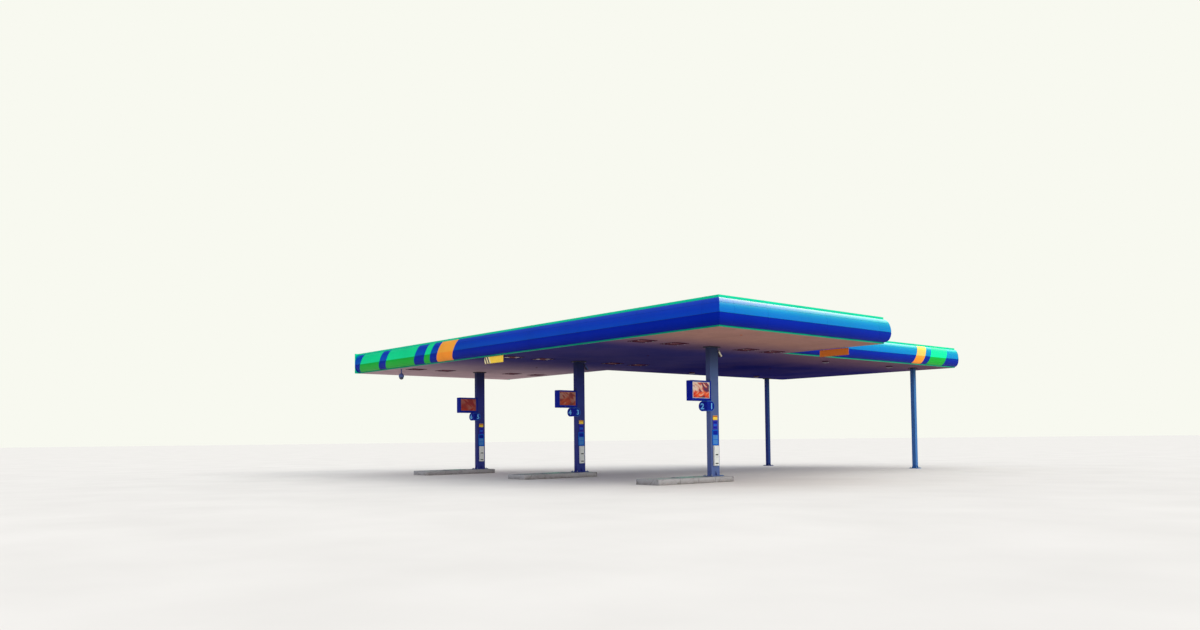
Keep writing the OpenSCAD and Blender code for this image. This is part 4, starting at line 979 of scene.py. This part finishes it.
# Number discs: a raised border along each wing of the folded plate, a numeral on each, bolts and rivets
DISC_R, DISC_T, DISC_FORWARD, RIM_W, RIM_T = 0.19, 0.02, 0.205, 0.012, 0.003
FRONT_REACH, SIDE_REACH = 0.25, 0.21
DISC_Z = BOX_Z0 - 0.005 - DISC_R
NUMERAL_H, NUMERAL_BACK, NUMERAL_FACE = 0.225, 0.0002, 0.0022
numerals = Shape("disc_numerals", "sign_white")
rims = Shape("disc_rims", "sign_blue")


def numeral(text, height):
    """Points and faces of a plain numeral, in local X and Y."""
    curve = bpy.data.curves.new("numeral_" + text, "FONT")
    curve.body, curve.size, curve.align_x, curve.align_y = text, 1.0, "CENTER", "CENTER"
    curve.extrude, curve.offset = 0.02, 0.03
    holder = bpy.data.objects.new("numeral_holder", curve)
    bpy.context.scene.collection.objects.link(holder)
    bpy.context.view_layer.update()
    mesh = holder.to_mesh()
    xs, ys = [v.co.x for v in mesh.vertices], [v.co.y for v in mesh.vertices]
    scale = height / (max(ys) - min(ys))
    mx, my = (max(xs) + min(xs)) / 2, (max(ys) + min(ys)) / 2
    points = [((v.co.x - mx) * scale, (v.co.y - my) * scale, v.co.z) for v in mesh.vertices]
    faces = [list(p.vertices) for p in mesh.polygons]
    holder.to_mesh_clear()
    bpy.data.objects.remove(holder)
    bpy.data.curves.remove(curve)
    return points, faces


def wing(reach, r):
    """Half of the folded plate, from the fold to its rounded end, in local X (away from the fold) and Y."""
    return [(0.0, -r), *((reach + r * c, r * s) for c, s in arc(-90, 90, 24)), (0.0, r)]


for i, x in enumerate(COLUMN_X):
    side_x = x + COLUMN_W / 2
    fold_x, fold_y = side_x + DISC_T, COLUMN_FRONT - DISC_FORWARD
    fold = move(fold_x, fold_y, DISC_Z)
    # The rows of the matrices turn a wing's own axes to the front and to the side
    for rows, reach in ((((-1, 0, 0, 0), (0, 0, -1, 0), (0, 1, 0, 0), (0, 0, 0, 1)), FRONT_REACH),
                        (((0, 0, 1, 0), (1, 0, 0, 0), (0, 1, 0, 0), (0, 0, 0, 1)), SIDE_REACH)):
        rims.loft([[(*p, 0.0), (*p, RIM_T), (*q, RIM_T), (*q, 0.0)]
                   for p, q in zip(wing(reach, DISC_R), wing(reach, DISC_R - RIM_W))], RIM_BLUE,
                  place=fold @ Matrix(rows))
    for origin, normal, text, widen in (((fold_x, fold_y + SIDE_REACH + 0.03, DISC_Z), RIGHT, 2 * i + 1, 1.0),
                                        ((fold_x - FRONT_REACH, fold_y, DISC_Z), FRONT, 2 * i + 2, 1.25)):
        points, faces = numeral(str(text), NUMERAL_H)
        place = facing(origin, normal)
        points = [place @ Vector((px * widen, py, NUMERAL_BACK if pz < 0 else NUMERAL_FACE))
                  for px, py, pz in points]
        numerals.add(points, faces, SIGN_PALE)
    for z in (-0.018, 0.018):
        rims.bolt(facing((side_x - 0.03, fold_y, DISC_Z + z), FRONT), 0.005)
    for z in (DISC_Z - 0.15, DISC_Z + 0.15):
        rims.screw((fold_x - 0.05, fold_y, z), FRONT)
        rims.screw((fold_x, fold_y + 0.05, z), RIGHT)
numerals.make()
rims.make()

# Boards on the columns' right sides: a towel unit and three framed boards with blank films
BOARD_T, BOARD_RIM, FILM_FACE = 0.02, 0.012, 0.016
# Towel unit, as near x, far x, half width, bottom, top, look and chamfer
TOWEL_UNIT = (
    (0.0, 0.07, 0.132, 0.59, 1.35, SIGN_WHITE, 0.012),
    (0.066, 0.077, 0.124, 0.6, 0.93, SIGN_WHITE, 0.006),
    (0.066, 0.08, 0.124, 0.944, 1.342, SIGN_WHITE, 0.006),
    (0.0795, 0.0805, 0.072, 0.985, 1.03, RUBBER, 0.0004),
    (0.0765, 0.0775, 0.082, 0.66, 0.7, RUBBER, 0.0004),
)
# Boards and the blank films on them, as half width, bottom, top and look
BOARDS = ((0.165, 1.365, 1.95, NOTICE_BLUE), (0.12375, 1.965, 2.3, NOTICE_VIOLET),
          (0.12375, 2.315, 2.48, SIGN_YELLOW))
FILMS = ((0.125, 1.41, 1.56, RIM_BLUE), (0.125, 1.585, 1.735, RIM_BLUE), (0.125, 1.76, 1.91, SIGN_BLUE),
         (0.09, 2.0, 2.06, SIGN_BLUE), (0.09, 2.09, 2.15, NOTICE_BLUE), (0.09, 2.18, 2.26, SIGN_BLUE),
         (0.11, 2.432, 2.466, SIGN_RED))
towels = Shape("towel_units", "sign_white")
notices = Shape("notice_frames", "sign_blue")
for x in COLUMN_X:
    fx = x + COLUMN_W / 2
    for x0, x1, half, z0, z1, look, chamfer in TOWEL_UNIT:
        towels.block((fx + x0, HALF_W - half, z0), (fx + x1, HALF_W + half, z1), look, chamfer)
    towels.lathe([(0.011, 0), (0.011, 0.004), (0.006, 0.006), (0, 0.006)],
                 facing((fx + 0.077, HALF_W, 0.9), RIGHT), STAINLESS, 16)
    for half, z0, z1, look in BOARDS:
        y0, y1 = HALF_W - half, HALF_W + half
        notices.block((fx, y0, z0), (fx + BOARD_T - 0.004, y1, z1), look, 0.003)
        for ya, za, yb, zb in bars(y0, z0, y1, z1, BOARD_RIM):
            notices.block((fx, ya, za), (fx + BOARD_T, yb, zb), look)
        for y, z in product((y0 + 0.006, y1 - 0.006), (z0 + 0.02, z1 - 0.02)):
            notices.screw((fx + BOARD_T, y, z), RIGHT, 0.0035)
    for half, z0, z1, look in FILMS:
        notices.block((fx + FILM_FACE - 0.0005, HALF_W - half, z0),
                      (fx + FILM_FACE + 0.001, HALF_W + half, z1), look, 0.0005)
towels.make("notice_boards")
notices.make()

# Height signs: bare plates with hangers, edge lines and, on the front one, slanted end stripes
SIGN_L, SIGN_H, SIGN_T, SIGN_DROP = 1.35, 0.28, 0.012, 0.015
STRIPE_W, STRIPE_LEAN, FILM_T, HANGER_T = 0.085, 0.14, 0.0012, 0.003
signs = Shape("clearance_plates", "sign_yellow")
SIGNS = ((COLUMN_X[1] + SIGN_L / 25, (0.04 - SIGN_T) / 2, True, SIGN_YELLOW),
         (LINK_RIGHT * 0.47, MAIN_W - (0.04 + SIGN_T) / 2, False, SIGN_ORANGE))
for x, y, striped, look in SIGNS:
    x0, x1, z1 = x - SIGN_L / 2, x + SIGN_L / 2, CLEAR_H - SIGN_DROP
    z0 = z1 - SIGN_H
    signs.block((x0, y, z0), (x1, y + SIGN_T, z1), look, 0.003)
    for sx in (x - SIGN_L * 0.35, x + SIGN_L * 0.35):
        signs.block((sx - 0.02, y + HANGER_T, z1 - 0.05), (sx + 0.02, y + SIGN_T + HANGER_T, CLEAR_H),
                    STAINLESS, 0.001)
        for face, normal in ((y, FRONT), (y + SIGN_T + HANGER_T, REAR)):
            signs.bolt(facing((sx, face, z1 - 0.025), normal), 0.009)
    for a, b in ((y - FILM_T, y), (y + SIGN_T, y + SIGN_T + FILM_T)):
        if striped:
            # Slanted dark and cream stripes at the left end, cut off by the plate's edge
            edge, low, high = x0 + 0.004, z0 + 0.004, z1 - 0.004
            for k in range(-2, 4):
                start = edge + k * STRIPE_W
                quad = [(start + STRIPE_LEAN, low), (start + STRIPE_LEAN + STRIPE_W, low),
                        (start + STRIPE_W, high), (start, high)]
                cut = []
                for p, q in zip(quad, quad[1:] + quad[:1]):
                    if p[0] >= edge:
                        cut.append(p)
                    if (p[0] - edge) * (q[0] - edge) < 0:
                        cut.append((edge, p[1] + (edge - p[0]) / (q[0] - p[0]) * (q[1] - p[1])))
                signs.loft([[(px, py, pz) for px, pz in cut] for py in (a, b)],
                           STRIPE_PALE if k % 2 else STRIPE_DARK)
        for z in (z1 - 0.011, z0 + 0.006):
            signs.block((x0 + 0.006, a, z), (x1 - 0.006, b, z + 0.005), SIGN_BLACK, 0.0003)
signs.make("height_signs")

# Dome camera
DOME_R, DOME_Z = 0.1125, 0.4
dome = Shape("dome_housing", "camera_shell")
base = facing((-MAIN_L + 3.85, 0.305, CLEAR_H), DOWN)
dome.lathe([(0.06, 0), (0.06, 0.01), (0.054, 0.014), (0.034, 0.016), (0.03, 0.022), (0.03, 0.19),
            (0.034, 0.196), (0.034, 0.206), (0.05, 0.214), (0.069, 0.222), (0.095, 0.25), (0.118, 0.285),
            (0.125, 0.305), (0.125, 0.372), (0.122, 0.384), (0.117, 0.386), (0.117, 0.398), (0.113, 0.4),
            (0.105, 0.4)], base, SHELL_GREY, 48)
bubble = [(DOME_R * c, DOME_Z + DOME_R * s) for c, s in arc(0, 84, 14)]
dome.lathe([(0.1126, 0.392), *bubble, (0, DOME_Z + DOME_R)], base, SMOKED, 48)
for k in range(4):
    place = base @ turned(45 + 90 * k)
    dome.screw((0.046, 0, 0.0145), UP, 0.005, place)
    dome.screw((0.125, 0, 0.36), RIGHT, 0.004, place)
dome.make("dome_camera", sharp=35)

# Column cameras: wall plate, arm, knuckle, tilted body under a hood, lens and cable
CAMERA_ARM, CAMERA_TILT, CAMERA_L, CAMERA_W, CAMERA_DROP = 0.155, 50, 0.3, 0.11, 0.12
lookouts = Shape("column_camera_bodies", "camera_shell")
face, z = COLUMN_REAR, CLEAR_H - COLLAR_H - CAMERA_DROP
half, back, tip = CAMERA_W / 2, -CAMERA_L / 4, CAMERA_L * 0.75
under, over = -CAMERA_W * 0.9, CAMERA_W * 0.1
# The second column's camera takes the darker dome grey for its hood: painted shade
for x, hood in ((COLUMN_X[0], SHELL), (COLUMN_X[1], SHELL_GREY)):
    lookouts.block((x - 0.05, face, z - 0.05), (x + 0.05, face + 0.012, z + 0.05), CAMERA_DARK, 0.004)
    for sx, sz in QUARTERS:
        lookouts.screw((x + sx * 0.038, face + 0.012, z + sz * 0.038), REAR)
    arm = ((0.006, 0), (0.06, 0), (0.11, 0.004), (CAMERA_ARM, 0.02))
    lookouts.tube([(x, face + dy, z - dz) for dy, dz in arm], 0.015, CAMERA_DARK, 16)
    lookouts.lathe([(0, -0.026), (0.024, -0.026), (0.026, -0.02), (0.026, 0.02), (0.024, 0.026), (0, 0.026)],
                   facing((x, face + CAMERA_ARM, z - 0.016), RIGHT), CAMERA_DARK, 20)
    body = move(x, face + CAMERA_ARM, z) @ turned(-CAMERA_TILT, "X")
    lookouts.block((-half + 0.004, back + 0.004, under + 0.003), (half - 0.004, tip - 0.008, over - 0.004),
                   CAMERA_DARK, 0.011, body)
    lookouts.block((-half, back + 0.004, over - 0.006), (half, tip, over), hood, place=body)
    for low, high in ((-half, -half + 0.003), (half - 0.003, half)):
        lookouts.block((low, back + 0.06, under + 0.035), (high, tip, over - 0.001), hood, 0.001, body)
    lens = body @ move(0, tip - 0.012, (under + over) / 2) @ turned(-90, "X")
    lookouts.lathe([(0.046, -0.004), (0.046, 0.006), (0.041, 0.007), (0.038, 0.003)], lens, RUBBER, 32)
    lookouts.lathe([(0.038, 0.003), (0.03, 0.006), (0.015, 0.0075), (0, 0.008)], lens, SMOKED, 32)
    lookouts.tube([body @ Vector((0, back + 0.006, -0.04)), body @ Vector((0, back - 0.01, -0.05)),
                   (x + 0.02, face + 0.03, z - 0.04), (x + 0.045, face + 0.014, z - 0.03),
                   (x + 0.066, face + 0.008, z + 0.01), (x + 0.07, face + 0.008, z + 0.06),
                   (x + 0.07, face + 0.008, CLEAR_H - COLLAR_H - 0.001)], 0.005, RUBBER)
lookouts.make("column_cameras", sharp=35)

# Roof screws, with sealing washers, through the ribs of the sheets into the purlins
VALLEY_Z = CLEAR_H + 0.03 + 0.42
MAIN_FALL, LINK_FALL, STEEL_LINE, EDGE_W = 0.12, 0.2, 0.15, 0.08
EAVES_Z = VALLEY_Z + MAIN_FALL
MAIN_PITCH, LINK_PITCH = MAIN_FALL / (HALF_W - STEEL_LINE), LINK_FALL / (LINK_D - EDGE_W)
MAIN_SLOPE, LINK_SLOPE = (math.degrees(math.atan(pitch)) for pitch in (MAIN_PITCH, LINK_PITCH))
PURLIN, RIB, SHEET, RIB_PITCH = 0.15, 0.035, 0.006, 0.4
SHEET_TOP = PURLIN + RIB + SHEET
caps = Shape("roof_screws", "zinc")


def rib_centres(x_from, x_to):
    count = math.floor((x_to - x_from) / RIB_PITCH)
    pitch = (x_to - x_from) / count
    return [x_from + (k + 0.725) * pitch for k in range(count)]


def roof_screw(place):
    caps.lathe([(0.011, 0), (0.011, 0.0015), (0.008, 0.002)], place, RUBBER, 10)
    caps.lathe([(0.0085, 0.0015), (0.0085, 0.0022), (0.0055, 0.0026), (0.0055, 0.0075), (0.004, 0.0085),
                (0, 0.0085)], place, STAINLESS, 6, False)


for side in BOTH:
    slope = move(0, HALF_W, VALLEY_Z) @ Matrix.Diagonal((1, side, 1, 1)) @ turned(MAIN_SLOPE, "X")
    for v, x in product((0.245, 1.6, 2.96, 4.3), rib_centres(-MAIN_L + COPING_W, -COPING_W)):
        if side < 0 or v < 4 or not LINK_LEFT < x < LINK_RIGHT:
            roof_screw(facing((x, v, SHEET_TOP), UP, slope))
slope = move(0, MAIN_W - STEEL_LINE, EAVES_Z) @ turned(-LINK_SLOPE, "X")
for k, x in product(range(7), rib_centres(LINK_LEFT + COPING_W, LINK_RIGHT - COPING_W)):
    roof_screw(facing((x, 0.6 + 1.86 * k, SHEET_TOP), UP, slope))
caps.make()

# Joint caps and rivets on the ridge flashing, outlets with domed leaf guards in the gutters, gutter joints
GUARD_R, GUARD_H, STRAP_PITCH = 0.052, 0.06, 3.0
fittings = Shape("gutter_fittings", "zinc")
apex = EAVES_Z + SHEET_TOP * math.hypot(1, MAIN_PITCH) + SHEET
for k, (along, fall) in product(range(4), ((-1, MAIN_SLOPE), (1, LINK_SLOPE))):
    place = move(LINK_LEFT + 1.9 + 2.4 * k, MAIN_W - STEEL_LINE, apex) @ turned(-along * fall, "X")
    a, b = sorted((0.0, along * 0.218))
    fittings.block((-0.05, a, 0.0), (0.05, b, 0.0025), ROOF, 0.001, place)
    for x, y in product((-0.035, 0.035), (0.05, 0.12, 0.19)):
        fittings.screw(place @ Vector((x, along * y, 0.0025)), UP, 0.0045)
gutter_y = LINK_REAR - STEEL_LINE
valley_z = VALLEY_Z + 0.18 * MAIN_PITCH + SHEET
rear_z = EAVES_Z - (LINK_D - 0.198) * LINK_PITCH + SHEET
outlets = [(x + 0.42, HALF_W, valley_z) for x in COLUMN_X]
outlets += [(x + 0.35, gutter_y - 0.099, rear_z) for x in POST_X]
for x, y, z in outlets:
    fittings.lathe([(0.07, 0), (0.07, 0.003), (0.056, 0.005), (0.05, 0.001), (0.046, 0.0)], move(x, y, z),
                   ZINC, 28)
    for c, s in arc(0, 150, 5):
        fittings.tube([(x + GUARD_R * u * c, y + GUARD_R * u * s, z + 0.003 + GUARD_H * w)
                       for u, w in arc(0, 180, 14)], 0.0018, STAINLESS, 6)
for count, x0, y0, y1, z in ((8, -MAIN_L + 0.4, HALF_W - 0.172, HALF_W + 0.172, valley_z),
                             (4, LINK_LEFT + 0.9, gutter_y - 0.19, gutter_y - 0.008, rear_z)):
    for x in (x0 + STRAP_PITCH * k for k in range(count)):
        fittings.block((x - 0.03, y0, z), (x + 0.03, y1, z + 0.0025), ZINC, 0.001)
fittings.make()

# Cover strips over the joints of the parapet's lining
STRIP_Y, STRIP_T, STRIP_PITCH, STRIP_LOW, STRIP_HIGH = COPING_W - 0.02, 0.0035, 1.6, 0.6, 0.955
strips = Shape("lining_strips", "zinc")
for run, (_, _, length) in RUNS.items():
    count = max(2, int(length / STRIP_PITCH))
    for k in range(1, count):
        place = on_run(run, k * length / count)
        strips.block((-0.03, STRIP_Y, STRIP_LOW), (0.03, STRIP_Y + STRIP_T, STRIP_HIGH), ZINC, 0.001, place)
        for z, x in product((0.66, 0.78, 0.9), (-0.02, 0.02)):
            strips.screw((x, STRIP_Y + STRIP_T, z), REAR, 0.004, place)
strips.make()

# Floor
FLOOR_REACH, FLOOR_Z = 900.0, -0.002
k = Look("pale_floor", Specular_IOR_Level=0.0)
k.base = k.ramp(k.noise(0.35, 4, 0.5), [(0.3, tone(216, 214, 210)), (0.7, tone(222, 220, 216))])
mesh = bpy.data.meshes.new("floor")
mesh.from_pydata([(sx * FLOOR_REACH, sy * FLOOR_REACH, FLOOR_Z) for sx, sy in QUARTERS], [], [[0, 2, 3, 1]])
mesh.materials.append(k.done(k.noise(2.0, 3, 0.5), (0.7, 0.85)))
floor = bpy.data.objects.new("floor", mesh)
bpy.context.scene.collection.objects.link(floor)
floor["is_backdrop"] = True

# Surround: a plain backdrop for the camera, a soft light for the rest, and a banded sheen for glossy rays
world = bpy.data.worlds.new("studio")
bpy.context.scene.world = world
sky = Nodes(world)


def towards(side):
    """Cosine of the ray's direction to a side, moved to the span 0 to 1."""
    coord = sky.node("TexCoord", {}).outputs["Generated"]
    dot = sky.node("VectorMath", {0: coord, 1: Vector(side).normalized()}, operation="DOT_PRODUCT")
    return sky.node("Math", {0: dot.outputs["Value"], 1: 0.5, 2: 0.5}, operation="MULTIPLY_ADD").outputs[0]


def glow(side, strength, *stops):
    """A surround that changes towards one side: stops are (cosine to that side, red, green, blue)."""
    colour = sky.ramp(towards(side), [(cosine / 2 + 0.5, (*rgb, 1.0)) for cosine, *rgb in stops])
    return sky.node("Background", {"Color": colour, "Strength": strength}).outputs[0]


def choose(flag, off, on):
    return sky.node("MixShader", {0: flag, 1: off, 2: on}).outputs[0]


soft = glow((0.75, 0.45, 0.45), 1.38, (-1.0, 0.56, 0.6, 0.7), (-0.2, 0.6, 0.63, 0.7), (0.5, 0.85, 0.85, 0.84),
            (1.0, 1.0, 0.98, 0.94))
dim = glow(UP, 1.0, (-1.0, 0.06, 0.1, 0.16), (-0.02, 0.02, 0.2, 0.3), (0.12, 0.01, 0.34, 0.3),
           (0.35, 0.01, 0.08, 0.2), (1.0, 0.2, 0.3, 0.4))
bright = glow(UP, 5.0, (-0.05, 0.004, 0.03, 0.04), (0.03, 0.004, 0.41, 0.3), (0.27, 0.012, 0.5, 0.25),
              (0.38, 0.02, 0.68, 0.28), (0.45, 0.1, 0.92, 0.3), (0.5, 0.3, 1.0, 0.42), (0.62, 0.8, 1.0, 0.62),
              (0.85, 0.8, 1.0, 0.62), (1.0, 0.2, 0.32, 0.3))
shine = choose(sky.spread(towards((0.35, 0.94, 0.0)), 0.5, 0.78), dim, bright)
plain = sky.node("Background", {"Color": tone(248, 249, 240), "Strength": 1.0}).outputs[0]
path = sky.node("LightPath", {}).outputs
sky.node("OutputWorld", {0: choose(path["Is Camera Ray"], choose(path["Is Glossy Ray"], soft, shine), plain)})


def far_light(name, side, strength, spread_deg, colour):
    """A lamp so far off that every place gets the same light; side is the direction that it comes from."""
    data = bpy.data.lights.new(name, "SUN")
    data.energy, data.angle, data.color = strength, math.radians(spread_deg), colour
    obj = bpy.data.objects.new(name, data)
    bpy.context.scene.collection.objects.link(obj)
    obj.rotation_mode = "QUATERNION"
    obj.rotation_quaternion = Vector(side).to_track_quat("Z", "Y")
    obj.visible_glossy = obj.visible_camera = False


far_light("key", (42.0, 22.0, 31.0), 0.92, 26.0, (1.0, 0.97, 0.92))
far_light("low_fill", (46.0, -10.0, 5.0), 0.3, 10.0, (1.0, 0.95, 0.9))

# Camera at the photo's view
CAMERA_PLACE = (31.447, -33.208, 1.619)
CAMERA_YAW, CAMERA_PITCH, CAMERA_ROLL = 49.074, 2.407, -0.595
IMAGE_W, IMAGE_H = 1200, 630
FOCAL_PX, CENTRE_ROW_PX = 931.67, 400.46
data = bpy.data.cameras.new("camera")
data.sensor_fit, data.sensor_width = "HORIZONTAL", 36.0
data.lens = FOCAL_PX / IMAGE_W * data.sensor_width
data.shift_y = (CENTRE_ROW_PX - IMAGE_H / 2) / IMAGE_W
data.clip_start, data.clip_end = 0.1, 2000.0
camera = bpy.data.objects.new("camera", data)
bpy.context.scene.collection.objects.link(camera)
aim = turned(CAMERA_YAW) @ turned(90 + CAMERA_PITCH, "X") @ turned(CAMERA_ROLL)
camera.matrix_world = move(*CAMERA_PLACE) @ aim
bpy.context.scene.camera = camera
view = bpy.context.scene.view_settings
view.view_transform, view.look, view.exposure, view.gamma = "Standard", "None", 0.0, 1.0

low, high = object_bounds()
